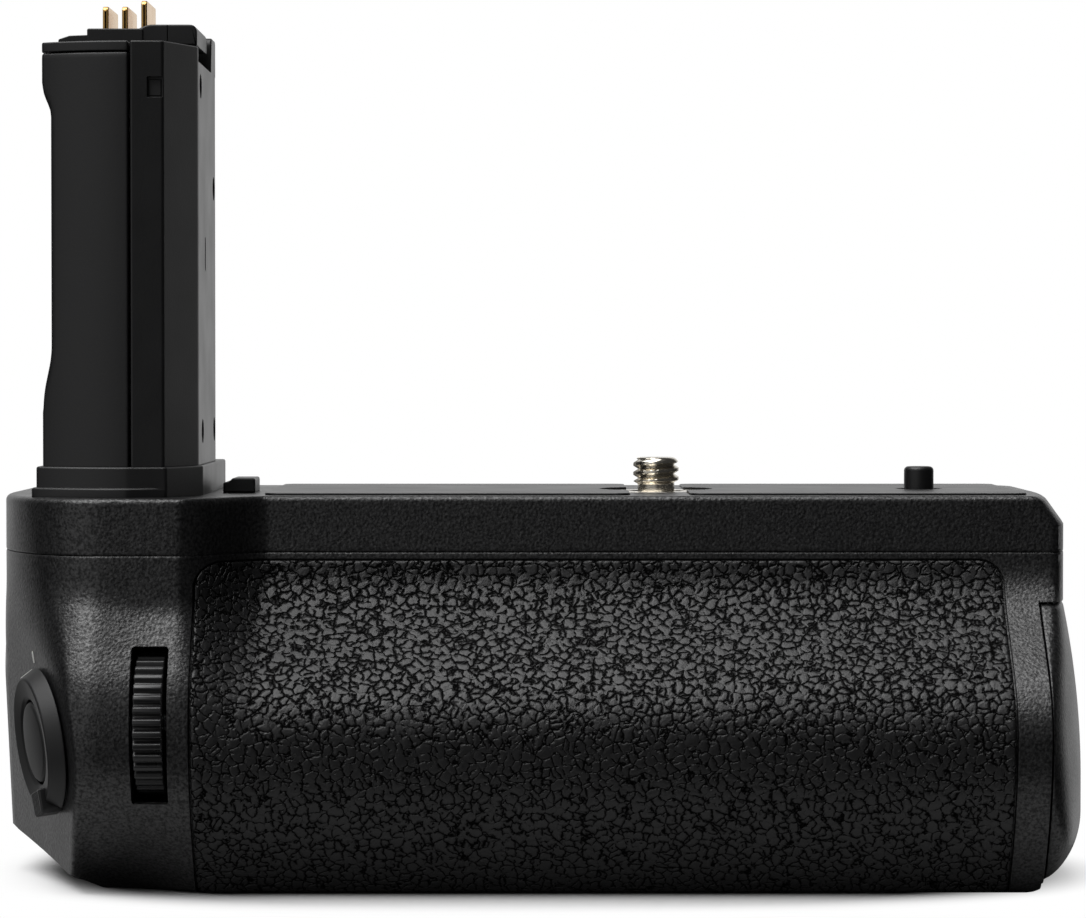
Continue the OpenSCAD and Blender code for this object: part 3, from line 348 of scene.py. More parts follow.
def anticlockwise(ring):
    area = np.sum(ring[:, 0] * np.roll(ring[:, 1], -1) - ring[:, 1] * np.roll(ring[:, 0], -1))
    return ring if area > 0 else ring[::-1]


def lifted(ring, z):
    return np.column_stack([ring, np.full(len(ring), z)])


def inset(outline, e):
    ahead = np.roll(outline, -1, 0) - outline
    ahead /= np.linalg.norm(ahead, axis=1)[:, None]
    behind = np.roll(ahead, 1, 0)
    n1 = np.column_stack([-behind[:, 1], behind[:, 0]])
    n2 = np.column_stack([-ahead[:, 1], ahead[:, 0]])
    return outline + e * (n1 + n2) / (1 + (n1 * n2).sum(1))[:, None]


print("a round edge of 1 mm in 3 steps:", np.round(quarter(1.0, 3), 2).tolist())

# %% [markdown]
# A push or a turn on the lathe makes an outline solid. Bricks, slabs and drills are the pushes used most for cutting.

# %% Pushes, the lathe and cutters
def push(name, outline, low, high, axis="z", soft=0.0, soft_low=None, matrix=None):
    """Pushes an outline, drawn anticlockwise, along an axis, with rounded ends."""
    soft_low = soft if soft_low is None else soft_low
    levels = [(low + h, e) for h, e in quarter(soft_low, 5)] if soft_low else [(low, 0)]
    levels += [(high - h, e) for h, e in quarter(soft, 5)[::-1]] if soft else [(high, 0)]
    rings = []
    for w, e in levels:
        flat = inset(np.asarray(outline, float), e) if e else np.asarray(outline, float)
        rings.append(lifted(flat, w)[:, AXES[axis]])
    return skin(name, rings, matrix=matrix)


def lathe(name, profile, steps=72, matrix=None):
    """Turns a profile of (radius, height) about Z. A profile that starts and ends on the axis makes a solid."""
    angle = around(steps)
    points, rows = [], []
    for r, z in profile:
        ring = [(r * math.cos(a), r * math.sin(a), z) for a in angle] if r > 1e-6 else [(0, 0, z)]
        rows.append([len(points) + i % len(ring) for i in range(steps)])
        points += ring
    chain = list(zip(rows, rows[1:])) + ([(rows[-1], rows[0])] if profile[0][0] > 1e-6 else [])
    ahead = [(i + 1) % steps for i in range(steps)]
    faces = [dict.fromkeys([one[i], one[j], two[j], two[i]]) for one, two in chain for i, j in enumerate(ahead)]
    return solid(name, points, [list(face) for face in faces if len(face) > 2], matrix)


def brick(x0, x1, y0, y1, z0, z1):
    return push("tool", np.array([[x0, y0], [x1, y0], [x1, y1], [x0, y1]]), z0, z1)


def slab(a0, a1, b0, b1, r, low, high, axis="z", **rest):
    return push("tool", rounded_rect(a0, a1, b0, b1, r), low, high, axis, **rest)


def drill(axis, low, high, a, b, r):
    return push("tool", disc(r, a, b), low, high, axis)


def hoop(r, z, steps):
    return lifted(disc(r, steps=steps), z)


def aim(degrees, axis, at=(0, 0, 0)):
    """A matrix that turns a piece about an axis, then moves it to its place."""
    return Matrix.Translation(at) @ Matrix.Rotation(math.radians(degrees), 4, axis)


print("tools ready: push, lathe, brick, slab, drill")

# %% [markdown]
# ## The body's surface
# The grip is one flowing surface: a narrow band under the camera, a swelling below it that fills the fingers, a
# fuller hand at the left, and there a slanted face for the shutter button. Modelling it point by point would be
# slow to change. It is written as a few functions of height and length instead, softer variants of those in the CAD
# source, and sampled finely. A soft maximum joins the slanted face to the hand, and the bowed right end to the front,
# so that their creases are slightly rounded.

# %% Surface functions
LEFT, RIGHT, SEAT, SEAM, WALL = -89.0, 55.2, 52.2, 44.7, 2.2
CAP_X, CAP_TOP, FULL_Y, FULL_Z, SKIN_TOP = 50.0, 38.2, -42.0, 22.9, 43.7
FACET_W, SHUTTER_Z, BAND_Y, PALM_Y = 12.9, 20.2, -24.0, -35.2
HEEL_X, HEEL_Z, CAP_END, CAP_BOW = 14.3, 6.1, 57.7, 215
PIN_X, LATCH_Z, WHEEL_Y = 36.5, 33.5, 18.5
BUTTON_X, FOCUS_Z, FUNCTION_Z, STICK_X, STICK_Z = -60.0, 27.0, 13.0, -50.0, 20.0
SLOPE = 1 / math.tan(math.radians(21))
RISE = math.tan(math.radians(7)) / math.cos(math.radians(21))


def mix(a, b, t):
    return a + (b - a) * t


def ease(t):
    t = np.clip(t, 0, 1)
    return t * t * (3 - 2 * t)


def corner(d, r):
    back = np.clip(r - d, 0, r)
    return r - np.sqrt(r * r - back * back)


def soft_max(a, b, k):
    h = np.clip(1 - np.abs(a - b) / k, 0, 1)
    return np.maximum(a, b) + h * h * k / 4


def ramp(z, top, low, foot, head):
    """Rises from 0 at the top height to 1 at the low one: straight, with a rounded foot and head."""
    t = np.clip((top - z) / (top - low), 0, 1)
    bent = np.clip(foot - t, 0, foot) ** 2 / (2 * foot) - np.clip(t - 1 + head, 0, head) ** 2 / (2 * head)
    return (t - foot / 2 + bent) / (1 - foot / 2 - head / 2)


def tuck(z):
    return np.clip((FULL_Z - z) / FULL_Z, 0, 1) ** 2


def facet(d, z):
    return FULL_Y + (FACET_W - (z - SHUTTER_Z) * RISE - d) * SLOPE


def hand(x, z, d):
    palm = mix(PALM_Y, FULL_Y, ramp(z, mix(41.8, 39.6, ease((x + 78) / 12)), 23.8, 0.2, 0.4))
    fingers = mix(BAND_Y, FULL_Y + 0.6, ramp(z, 43.9, 21.0, 0.36, 0.4))
    tucked = tuck(z) * (11 * ease((d - FACET_W + 5) / 7) + 5.5 * ease((-57 - x) / 15))
    return mix(palm, fingers, ease((x + 63.4) / 11.2)) + tucked + corner(d, 16) * 29 / 16


def front(x, z, left=LEFT, right=999.0, bow=230):
    blend = mix(1.3, 6.0, ease((z - 24) / 13))
    end = -3.5 - np.sqrt(bow * np.clip(right - x, 0, None))
    return soft_max(soft_max(facet(x - left, z), hand(x, z, x - left), blend), end, 5.0)


def cap_end(z):
    return CAP_END - 2.6 * max(0.0, (z - 14) / (CAP_TOP - 14)) ** 2 - 0.75 * float(corner(z - 1.2, 8.5))


def rear(z):
    return mix(28.0, 35.0, np.sin(np.pi / 2 * np.clip((SEAM - z) / (SEAM - FULL_Z), 0, 1))) - 3 * tuck(z)


def closed(x, near, far, z):
    """An outline that runs out along its near side and back along its far one."""
    return lifted(np.concatenate([np.column_stack([x, near]), np.column_stack([x, far])[::-1]]), z)


def outline(z, ex=0.0, ey=0.0, right=RIGHT):
    """The body's outline at a height, drawn in by ex along the body and ey across it."""
    x0, x1 = LEFT + ex, right - ex
    heel = float(soft_max(0.0, HEEL_X * (1 - (max(z, 0.0) / HEEL_Z) ** 1.7), 1.0))
    d = np.linspace(0, FACET_W + 4, 400)
    gap = facet(d, z) - hand(x0 + d, z, d)
    fold = max(heel + 0.3, float(d[np.nonzero(gap > 0)[0][-1] if gap.max() > 0 else np.argmax(gap)]))
    t = np.linspace(0, 1, 40)
    x = np.concatenate([x0 + fold + (heel - fold) * t[::-1] ** 1.8,
                        x0 + fold + (FACET_W + 5.3 - fold) * t[1:] ** 1.6,
                        np.linspace(x0 + FACET_W + 6.6, -50, 48), np.linspace(-50, x1 - 5.3, 90)[1:],
                        x1 - 5 * (1 - np.sin(np.linspace(0, np.pi / 2, 12)))])
    return closed(x, front(x, z, x0, x1) + ey, rear(z) - corner(x - x0, 8) - corner(x1 - x, 5) - ey, z)


print("fullest front", float(front(0.0, FULL_Z)), "mm, seat band", float(front(0.0, 48.0)), "mm")

# %% [markdown]
# ## The shutter's own frame
# The shutter button, its ring and its marks sit square on the slanted face. One matrix carries a drawing made flat,
# with +Z out of the face and +X down it, to its place on the body, so these pieces are drawn as if on a bench.

# %% Shutter frame
shutter_at = (LEFT + 8.1, FULL_Y + (FACET_W - 8.1) * SLOPE, SHUTTER_Z)
on_facet = aim(201, "Z", shutter_at) @ aim(97, "Y")
print("shutter centre", [round(v, 2) for v in shutter_at])

# %% [markdown]
# ## Rubber panels
# Each rubber is a thin skin laid into a recess of the shell. A rectangle of points follows the body's surface; its
# corners are eased into arcs, and towards its rim the surface drops away, as a moulded edge does. The same function
# makes the recess, as a fatter copy that is cut from the shell, so a thin dark gap is left all round.

# %% Rubber panel function
def panel(name, x0, x1, z0, z1, radii, finger_side, proud, depth, edge):
    near = edge * np.array([0, 0.04, 0.13, 0.27, 0.46, 0.7, 1.0])
    x = np.concatenate([x0 + near, np.linspace(x0 + edge, x1 - edge, 170)[1:-1], (x1 - near)[::-1]])
    z = np.concatenate([z0 + near, np.linspace(z0 + edge, z1 - edge, 90)[1:-1], (z1 - near)[::-1]])
    x, z = np.meshgrid(x, z, indexing="ij")
    flat_x, flat_z, rim = x.copy(), z.copy(), np.minimum.reduce([x - x0, x1 - x, z - z0, z1 - z])
    for sx, sz, r in ((-1, 1, radii[0]), (1, 1, radii[0]), (-1, -1, radii[1]), (1, -1, radii[1])):
        cx, cz = (x0 + r if sx < 0 else x1 - r), (z0 + r if sz < 0 else z1 - r)
        p, q = sx * (x - cx) / r, sz * (z - cz) / r
        m = (p > 0) & (q > 0)
        u, v = p * np.sqrt(np.clip(1 - q * q / 2, 0, 1)), q * np.sqrt(np.clip(1 - p * p / 2, 0, 1))
        flat_x[m], flat_z[m] = cx + sx * r * u[m], cz + sz * r * v[m]
        rim[m] = r - r * np.hypot(u, v)[m]
    base, out = (front(flat_x, flat_z), -1) if finger_side else (rear(flat_z), 1)
    outer = np.stack([flat_x, base + out * (proud - corner(rim, edge)), flat_z], -1)
    inner = np.stack([flat_x, base - out * depth, flat_z], -1)
    rows, cols = x.shape
    one = np.arange(rows * cols).reshape(rows, cols)
    two = one + rows * cols
    loop = np.concatenate([one[:-1, 0], one[-1, :-1], one[:0:-1, -1], one[0, :0:-1]])
    ahead = np.roll(loop, -1)
    faces = np.concatenate([np.stack([g[:-1, :-1], g[1:, :-1], g[1:, 1:], g[:-1, 1:]], -1).reshape(-1, 4)
                            for g in (one, two)] + [np.stack([loop, ahead, ahead + rows * cols,
                                                              loop + rows * cols], -1)])
    return solid(name, np.concatenate([outer.reshape(-1, 3), inner.reshape(-1, 3)]), faces.tolist())


fingers = panel("front_grip_skin", -61.2, 45.4, 0.25, SKIN_TOP, (3.2, 1.0), True, 0.15, 1.0, 0.55)
dress(fingers, grip_rubber, "front_grip_rubber")
thumb = panel("rear_grip_skin", -35.9, 45.4, 3.1, 34.4, (3.2, 3.2), False, 0.15, 1.0, 0.55)
dress(thumb, grip_rubber, "rear_grip_rubber")

# %% [markdown]
# ## Lower shell
# The lower shell is the tub of the grip. Its outside is a stack of outlines, closer together at the rounded base and
# at the seam. A second, smaller stack is cut out to hollow it, then the recesses, the dial windows, the button
# holes, the wheel slot, the tray mouth and the screw holes. Real holes matter: the tray slides out and shows them.

# %% Lower shell
levels = quarter(1.3) + [(z, 0.0) for z in np.linspace(1.7, 44.2, 84)] + [(44.5, 0.01), (44.62, 0.05), (SEAM, 0.14)]
levels = sorted(levels + [(CAP_TOP - 0.02, 0.0), (CAP_TOP, 0.0)])
ends = [RIGHT if z >= CAP_TOP else cap_end(max(z, 1.3)) + 1 for z, _ in levels]
tub = skin("lower_shell_moulding", [outline(z, e, e, x) for (z, e), x in zip(levels, ends)], strips=True)
hollow = [(z, CAP_X) for z in (2.2, 6, 10, 16, 22.9, 26.5, 31, 35, 40.35)] + [(z, RIGHT) for z in (40.45, 42.5)]
cavity = skin("tool", [outline(z, WALL, WALL + 1, r) for z, r in hollow] + [
    outline(z, WALL, WALL) for z in (SEAM, SEAM + 1)], strips=True)
CASE_POSTS = [(-54, -16, 2.2), (-82, 12, 8.4), (-44, 21, 2.2), (50.6, -13, 40.4), (50.6, 13, 40.4)]
carve(tub, cavity, panel("tool", -61.45, 45.65, -0.2, SKIN_TOP + 0.15, (3.4, 1.0), True, 30, 1.06, 0.2),
      panel("tool", -36.15, 45.65, 2.85, 34.65, (3.4, 3.4), False, 30, 1.06, 0.2),
      brick(CAP_X, 70, -60, 60, -1, CAP_TOP), brick(42.8, CAP_X + 1, -31.3, 27.9, 7.7, 30.3),
      slab(-3.6, 3.6, LATCH_Z - 1.75, LATCH_Z + 1.75, 0.6, 46.8, 51, "x"), drill("x", 46.8, 51, 0, LATCH_Z, 2.2))
carve(tub, slab(-69.0, -64.2, FULL_Z - 10.2, FULL_Z + 10.2, 0.45, -60, -30, "y"),
      push("tool", disc(7.3), -8, 6, matrix=on_facet), slab(-76.4, -71.6, 21.8, 38.2, 1.0, 24, 60, "y"),
      drill("y", 22, 60, BUTTON_X, FOCUS_Z, 4.25), drill("y", 22, 60, BUTTON_X, FUNCTION_Z, 3.45),
      drill("y", 22, 60, STICK_X, STICK_Z, 5.2), slab(-13.4, 13.4, 36.2, 43.6, 1.0, 20, 60, "y"),
      drill("z", -1, 3.2, 0, 0, 5.6), *[drill("z", -1, h + 1, x, y, 1.15) for x, y, h in CASE_POSTS],
      *[drill("z", -1, h - 1.3, x, y, 2.1) for x, y, h in CASE_POSTS])
dress(tub, shell_black, "lower_shell")

# %% [markdown]
# ## Upper shell
# The upper shell is the plate that the camera stands on. Its rim is rounded over, its right end slopes in, and a fine
# step at the seam leaves the thin dark line that runs round the real grip.

# %% Upper shell
def right_end(z):
    return RIGHT - max(0.0, z - SEAT + 3.8) * 0.72


rim = [(SEAT - h, e) for h, e in quarter(0.8)[::-1]]
levels = [(SEAM, 0.14), (SEAM + 0.08, 0.05), (SEAM + 0.2, 0.01)]
levels += [(z, 0.0) for z in (45.2, 46, 47, 48, 48.3, 48.8, 49.5, 50.3, 51)] + rim
deck = skin("upper_shell_moulding", [outline(z, e, e, right_end(z)) for z, e in levels], strips=True)
inside = [outline(z, WALL, WALL, right_end(z)) for z in (SEAM - 1, SEAM, 48.3, SEAT - WALL)]
carve(deck, skin("tool", inside, strips=True), drill("z", 48, 54, 0, 0, 7.75), drill("z", 48, 54, PIN_X, 0, 2.45),
      brick(-77.5, -66.8, -14, 4, 48, 54))
dress(deck, shell_black, "upper_shell")

# %% [markdown]
# ## Tray end cap
# The right end of the body is the door of the battery tray: it bulges out, and slides out with the tray. It follows
# the same front and rear surface, so the seam only shows as a line. Its pocket takes the tray, its groove the seal.

# %% Tray end cap
def cap_ring(z, e):
    x0 = CAP_X + 0.25
    x1 = cap_end(z) - e
    x = np.concatenate([[x0, x0 + 0.15], x1 - (x1 - x0 - 0.4) * np.linspace(1, 0, 26) ** 2])
    ease_in = np.where(x - x0 < 0.1, 0.12, 0.0)
    return closed(x, front(x, z, LEFT, x1, CAP_BOW) + e + ease_in, rear(z) - corner(x1 - x, 4) - e - ease_in, z)


levels = [(1.2 + h, e) for h, e in quarter(1.0, 6)]
levels += [(z, 0.0) for z in np.linspace(2.5, 37.3, 62)] + [(37.55, 0.06), (37.75, 0.2), (37.9, 0.5)]
door = skin("tray_end_cap_moulding", [cap_ring(z, e) for z, e in levels], strips=True)
groove = carve(brick(50.2, 51.05, -32.65, 29.25, 6.35, 31.35), brick(49, 52, -31.65, 28.25, 7.35, 30.35))
carve(door, groove, brick(50, 51.7, -31.05, 27.65, 7.95, 30.05), drill("x", 50, 70, 0, LATCH_Z, 2.05),
      drill("x", 53.6, 70, 0, LATCH_Z, 3.6))
dress(door, shell_black, "tray_end_cap", "tray")

# %% [markdown]
# ## Stalk
# The stalk has the outline of a battery, because it goes where the battery was: a rounded nose at the left, a flat
# strip and a slanted face at the right. It is moulded in two halves that meet in a groove. The left half has a
# shallow waist; it is made by pushing each outline's left side in by an amount that depends on height.

# %% Stalk outlines
STALK_L, STALK_R, SPLIT, GROOVE = -82.05, -61.8, -70.05, 0.14
STALK_LOW, STALK_TOP = SEAT + 4.0, SEAT + 60.0


def nose(e=0.0):
    """The stalk's outline left of the split, from the front of the split round to the back, grown by e."""
    cx, cy, r = SPLIT + 0.2, -8.0, 22.0 + e
    side = STALK_L - e
    start = math.acos((side - cx) / r)
    sweep = np.linspace(start, np.pi / 2 + 0.009, 22)[::-1]
    points = [(cx + r * math.cos(a), cy - r * math.sin(a)) for a in sweep]
    return points + [(side, 10 + e), (SPLIT, 10 + e)]


def flank(e=0.0):
    """The stalk's outline right of the split, from the back round to the front."""
    return [(SPLIT, 10 + e), (STALK_R + e, 10 + e), (STALK_R + e, -19.8 - e * 0.5),
            (STALK_R - 3.8 + e * 0.6, -29.7 - e), (SPLIT, -30.0 - e)]


def half(points, split, radii):
    """One half of the stalk: its end points are moved to the groove's edge, and its corners rounded."""
    points = np.array(points)
    points[0, 0], points[-1, 0] = split, split
    return anticlockwise(soften(points, radii))


def waist(z):
    return 1.4 * ease((z - STALK_LOW - 7) / 9) * ease((STALK_TOP - 5.3 - z) / 4.5)


print("stalk", round(STALK_R - STALK_L, 2), "mm wide, waist", round(float(waist(SEAT + 30)), 2), "mm deep")

# %% [markdown]
# Both halves stop short of the split line, and the gap between them is the groove. The right half takes the screws.

# %% Stalk halves
flat = half(nose(), SPLIT - GROOVE, [0.3] + [0] * (len(nose()) - 4) + [3.5, 2.4, 0.3])
heights = np.concatenate([STALK_LOW + np.array([0, 0.2]), np.linspace(STALK_LOW + 1, STALK_TOP - 2.2, 70),
                          STALK_TOP - np.array([1.68, 1.55, 1.48])])
pull = np.concatenate([[0, 0], np.zeros(70), [0.02, 0.09, 0.2]])
rings = []
for z, e in zip(heights, pull):
    ring = inset(flat, e) if e else flat.copy()
    if waist(z) > 0.01:
        ring[:, 0] = soft_max(ring[:, 0], np.full(len(ring), STALK_L + waist(z)), 0.5)
    rings.append(lifted(ring, z))
dress(skin("stalk_cover_moulding", rings), stalk_black, "stalk_cover")

right_half = half(flank(), SPLIT + GROOVE, [0.3, 2.4, 0.5, 0.35, 0.3])
spine = push("stalk_frame_moulding", right_half, STALK_LOW, STALK_TOP, soft=0.22, soft_low=0.01)
part_up = [(-16.0, 0.91), (5.0, 0.68), (-13.6, 0.08), (5.5, 0.08)]
HOLES = [(y, mix(STALK_LOW, STALK_TOP, f)) for y, f in part_up]
carve(spine, *[drill("x", STALK_R - 1.5, STALK_R + 2, y, z, 1.65) for y, z in HOLES],
      slab(-9.6, -8.4, 82.5, 87.1, 0.5, STALK_R - 1.2, STALK_R + 1, "x"),
      slab(SPLIT + 2.35, SPLIT + 4.38, STALK_TOP - 7.4, STALK_TOP - 4.7, 0.15, -40, -29.0, "y"),
      brick(STALK_R - 2.2, STALK_R + 1, -19.5, 12, STALK_TOP - 2.0, STALK_TOP + 1))
dress(spine, stalk_black, "stalk_frame")

# %% [markdown]
# The cap closes the left half, and carries the low platform under the contacts and the small upright wall behind
# them. The snap catch seen through the square window, and the screw heads in the right face, are the details that
# tell the eye how the two halves are held together.

# %% Stalk cap, catch and screws
lid = push("stalk_cap_moulding", flat, STALK_TOP - 1.3, STALK_TOP, soft=0.22, soft_low=0.15)
platform = slab(STALK_L + 2.4, STALK_R - 2.4, -15, 3, 0.6, STALK_TOP - 0.3, STALK_TOP + 0.7, soft=0.15)
wedge_side = np.add([(0.9, -0.2), (5.2, -0.2), (5.2, 2.0), (2.4, 1.9), (0.9, 1.4)], (STALK_L, STALK_TOP))
wedge = push("tool", soften(wedge_side, 0.2), -14.5, -6, "y", soft=0.1)
wall_side = np.add([(1.5, -2.2), (9.0, -2.2), (9.0, 3.0), (2.6, 3.0)], (0, STALK_TOP))
upright = push("tool", soften(wall_side, [0.1, 0.1, 0.8, 1.2]), STALK_R - 2.2, STALK_R - 0.05, "x", soft=0.25)
dress(join(lid, platform, wedge, upright), stalk_black, "stalk_cap")
catch_face = np.add([(2.5, -7.25), (4.2, -7.25), (4.2, -5.0), (2.5, -5.0)], (SPLIT, STALK_TOP))
catch = push("stalk_snap_catch", soften(catch_face, 0.2), -29.2, -28.6, "y", soft=0.15)
dress(catch, inner_black, slot="stalk_plastic")


def cross_head(name, r, high, matrix):
    """A screw head with a cross recess, drawn with its top at height zero."""
    head = lathe(name, [(0, -high), (r, -high), (r, -0.3), (r - 0.12, -0.1), (r - 0.35, 0), (0, 0)], 40, matrix)
    for turn in (0, 90):
        slot = slab(-0.62 * r, 0.62 * r, -0.17 * r, 0.17 * r, 0.1 * r, -0.5, 1,
                    matrix=matrix @ aim(turn + 20, "Z"))
        carve(head, slot)
    return head


heads = [cross_head("stalk_screw_heads", 1.5, 2.0, aim(90, "Y", (STALK_R - 0.7, y, z))) for y, z in HOLES]
dress(join(heads[0], *heads[1:]), black_steel, "stalk_screws")

# %% [markdown]
# The collar at the stalk's foot is the same outline, grown, in two steps.

# %% Stalk collar
def collar(name, low, high, e, soft):
    points = np.array(nose(e)[:-2] + [(STALK_L - e, 18.4), (STALK_R + 0.6, 18.4)] + flank(min(e, 0.6))[2:-1])
    points[:, 0] = np.minimum(points[:, 0], STALK_R + 0.6)
    radii = [0] * (len(points) - 5) + [2.0, 2.0, 0.8, 0.3, 0.4]
    return push(name, anticlockwise(soften(points, radii)), low, high, soft=soft, soft_low=0.02)


foot = join(collar("stalk_collar_moulding", SEAT, SEAT + 1.2, 1.4, 0.25),
            collar("tool", SEAT + 0.5, SEAT + 4.0, 0.8, 0.3))
dress(foot, stalk_black, "stalk_collar")

# %% [markdown]
# ## Contacts
# Three gold blades rise from a stepped block. Each blade is a strip folded like a hairpin, so a slit shows down its
# front edge. The block is cut away round the blades, with a rounded shoulder on its right.

# %% Contact block and blades
top0 = STALK_TOP + 0.7
block = push("contact_block_moulding", rounded_rect(STALK_L + 4.8, SPLIT + 0.4, top0 - 0.1, top0 + 2.15, 0.25),
             -14.8, 1, "y", soft=0.2)
shoulder = push("tool", soften([(SPLIT - 0.6, top0 - 0.1), (STALK_R - 0.6, top0 - 0.1), (STALK_R - 0.6, top0 + 2.7),
                                (SPLIT + 1.0, top0 + 2.7), (SPLIT - 0.6, top0 + 2.0)],
                               [0.1, 0.1, 1.1, 0.6, 0.5]), -14.6, 1.5, "y", soft=0.25)
join(block, shoulder)
BLADES = [(STALK_L + 7.25 + 2.6 * i, (4.4, 4.4, 5.2)[i]) for i in range(3)]
carve(block, *[brick(x - 0.5, x + 0.5, -14.1, -1.4, top0 + 0.8, top0 + 9) for x, _ in BLADES],
      brick(SPLIT + 3.6, SPLIT + 3.75, -16, -14.2, top0, top0 + 4))
dress(block, stalk_black, "contact_block")

leaves = []
for x, h in BLADES:
    z0 = STALK_TOP + 1.5
    side = soften([(-14, z0), (-1.6, z0), (-1.6, z0 + h), (-14, z0 + h)], [0.05, 0.05, 0.4, 0.9])
    leaf = push("contact_blade_set", side, x - 0.4, x + 0.4, "x", soft=0.16)
    leaves.append(carve(leaf, brick(x - 0.12, x + 0.12, -15, -4, z0 + 0.4, z0 + h - 0.55)))
dress(join(leaves[0], *leaves[1:]), gold, "contact_blades")

# %% [markdown]
# ## Seat
# On the deck lie two thin rubber pads, a stepped key beside the stalk, a locating pin, and a flanged bush in which the
# camera screw turns. They are low and seen at a grazing angle, so their rounded edges do most of the work.

# %% Pads, key, pin and bush
pads = push("seat_pad_skins", rounded_rect(-53, -4, -21, 24, 2), SEAT - 0.05, SEAT + 0.3, soft=0.12, soft_low=0.01)
join(pads, slab(4, 49.2, -21, 24, 2, SEAT - 0.05, SEAT + 0.3, soft=0.12, soft_low=0.01))
carve(pads, drill("z", 51, 54, 0, 0, 7.9), drill("z", 51, 54, PIN_X, 0, 3.25))
dress(pads, stalk_black, "seat_pads")
key = push("seat_key_moulding", soften([(-59.4, SEAT - 0.05), (-55, SEAT - 0.05), (-55, SEAT + 2.0),
                                        (-58.1, SEAT + 2.0), (-58.6, SEAT + 1.5), (-59.4, SEAT + 1.4)],
                                       [0.05, 0.05, 0.35, 0.2, 0.2, 0.3]), -9.5, -0.5, "y", soft=0.25)
dress(key, stalk_black, "seat_key")
stem = [(0, 48.8), (3.65, 48.8), (3.65, 50), (2.45, 50), (2.45, SEAT - 0.1), (2.35, SEAT), (2.05, SEAT + 0.05)]
pin = lathe("locating_pin_moulding", stem + arc(2.05 - 0.6, SEAT + 2.8, 0.6) + [(0, SEAT + 3.4)], 64,
            Matrix.Translation((PIN_X, 0, 0)))
dress(pin, stalk_black, "locating_pin")
bush = lathe("screw_bush_turned", [(4.115, 49.4), (9, 49.4), (9, 50), (7.6, 50), (7.6, SEAT - 0.15), (7.45, SEAT),
                                   (5.9, SEAT), (5.8, SEAT - 0.08), (5.6, SEAT - 0.08), (5.5, SEAT), (4.3, SEAT),
                                   (4.115, SEAT - 0.15)], 96)
dress(bush, nickel, "screw_bush")

# %% [markdown]
# ## Camera screw
# A thread is a ridge that climbs one pitch for each turn. On a grid of angle and height, the radius only has to
# depend on height minus angle times pitch, so the ridge winds by itself. It fades in over the plain neck and is
# turned down to a dome at the tip, and a groove runs down one side, as on the real screw.

# %% Threaded screw
PITCH, CREST = 1.27, 3.175
ROOT = CREST - 0.5 * PITCH


def thread(height, angle):
    f = np.mod(height / PITCH - angle / (2 * np.pi), 1.0)
    return np.clip(np.minimum(f, 1 - f) * 2 / 0.62 - 0.12, 0, 1)


tip, neck, dome_r, groove_at = SEAT + 4.7, SEAT + 0.9, 1.1, math.radians(196)
angle = around(144)
shank = [(2.5, 33.2), (2.5, 43.6), (4.77, 43.6), (4.77, 44.5), (2.97, 44.5), (2.97, 47.7), (4.77, 47.7), (4.77, 49.2),
         (4.075, 49.2), (4.075, SEAT - 0.3), (3.95, SEAT - 0.15), (ROOT, SEAT - 0.1)]
rows = [hoop(r, z, len(angle)) for r, z in shank]
for z in np.linspace(SEAT, tip, 74):
    fade = float(ease((z - neck) / 0.5))
    r = ROOT + (CREST - ROOT) * thread(z, angle) * fade
    r = np.minimum(r, CREST - dome_r + math.sqrt(max(0.0, dome_r ** 2 - max(0.0, z - tip + dome_r) ** 2)))
    turn = np.abs(np.mod(angle - groove_at + np.pi, 2 * np.pi) - np.pi)
    r = np.where((turn < 0.17) & (z > neck), np.minimum(r, ROOT - 0.25), r)
    rows.append(hoop(r, z, len(angle)))
dress(skin("camera_screw_turned", rows), nickel, "attachment_screw", "camera_screw", 30)

# %% [markdown]
# ## Dials and the attachment wheel
# A dial is a short cylinder with ribs. Sampling the rib's profile round the rim gives one outline, and the push
# rounds its ends. The wheel that drives the screw is made the same way, with finer ribs, a hub and its pinion.

# %% Ribbed wheels
def ribbed(r, ribs, depth, a, b, samples=12):
    f = np.mod(np.arange(ribs * samples) / samples, 1.0)
    rim = r - depth * (1 - ease((f - 0.06) / 0.26) * ease((0.94 - f) / 0.26))
    return disc(rim, a, b, ribs * samples)


def dial(name, r, x, y, z, node):
    wheel = push(name, ribbed(r, 36, 0.62, y, z), x - 1.9, x + 1.9, "x", soft=0.22)
    carve(wheel, drill("x", x - 5, x + 5, y, z, 1.55))
    dress(wheel, dial_black, node, node, 50)


dial("front_dial_ribbed", 9.3, -66.6, -34.1, FULL_Z, "front_dial")
dial("rear_dial_ribbed", 8.0, -74.0, 27.404, 30.0, "rear_dial")
wheel = push("attachment_wheel_ribbed", ribbed(14.3, 60, 0.5, 0, WHEEL_Y, 10), 36.6, 43.2, soft=0.5)
hub = lathe("tool", [(0, 34.9), (4, 34.9), (4, 44.7), (0, 44.7)], 48, Matrix.Translation((0, WHEEL_Y, 0)))
pinion = push("tool", ribbed(6.8, 12, 2.0, 0, WHEEL_Y, 16), 44.6, 47.6, soft=0.1)
join(wheel, hub, pinion)
carve(wheel, drill("z", 30, 50, 0, WHEEL_Y, 1.55))
dress(wheel, control_black, "attachment_wheel", "wheel", 50)

# %% [markdown]
# ## Shutter button and lock ring
# The button is a low dome with a soft rim. The ring round it carries a ribbed lever at its lower edge. Two white
# filled marks show the lock's position: one on the ring and one on the body.

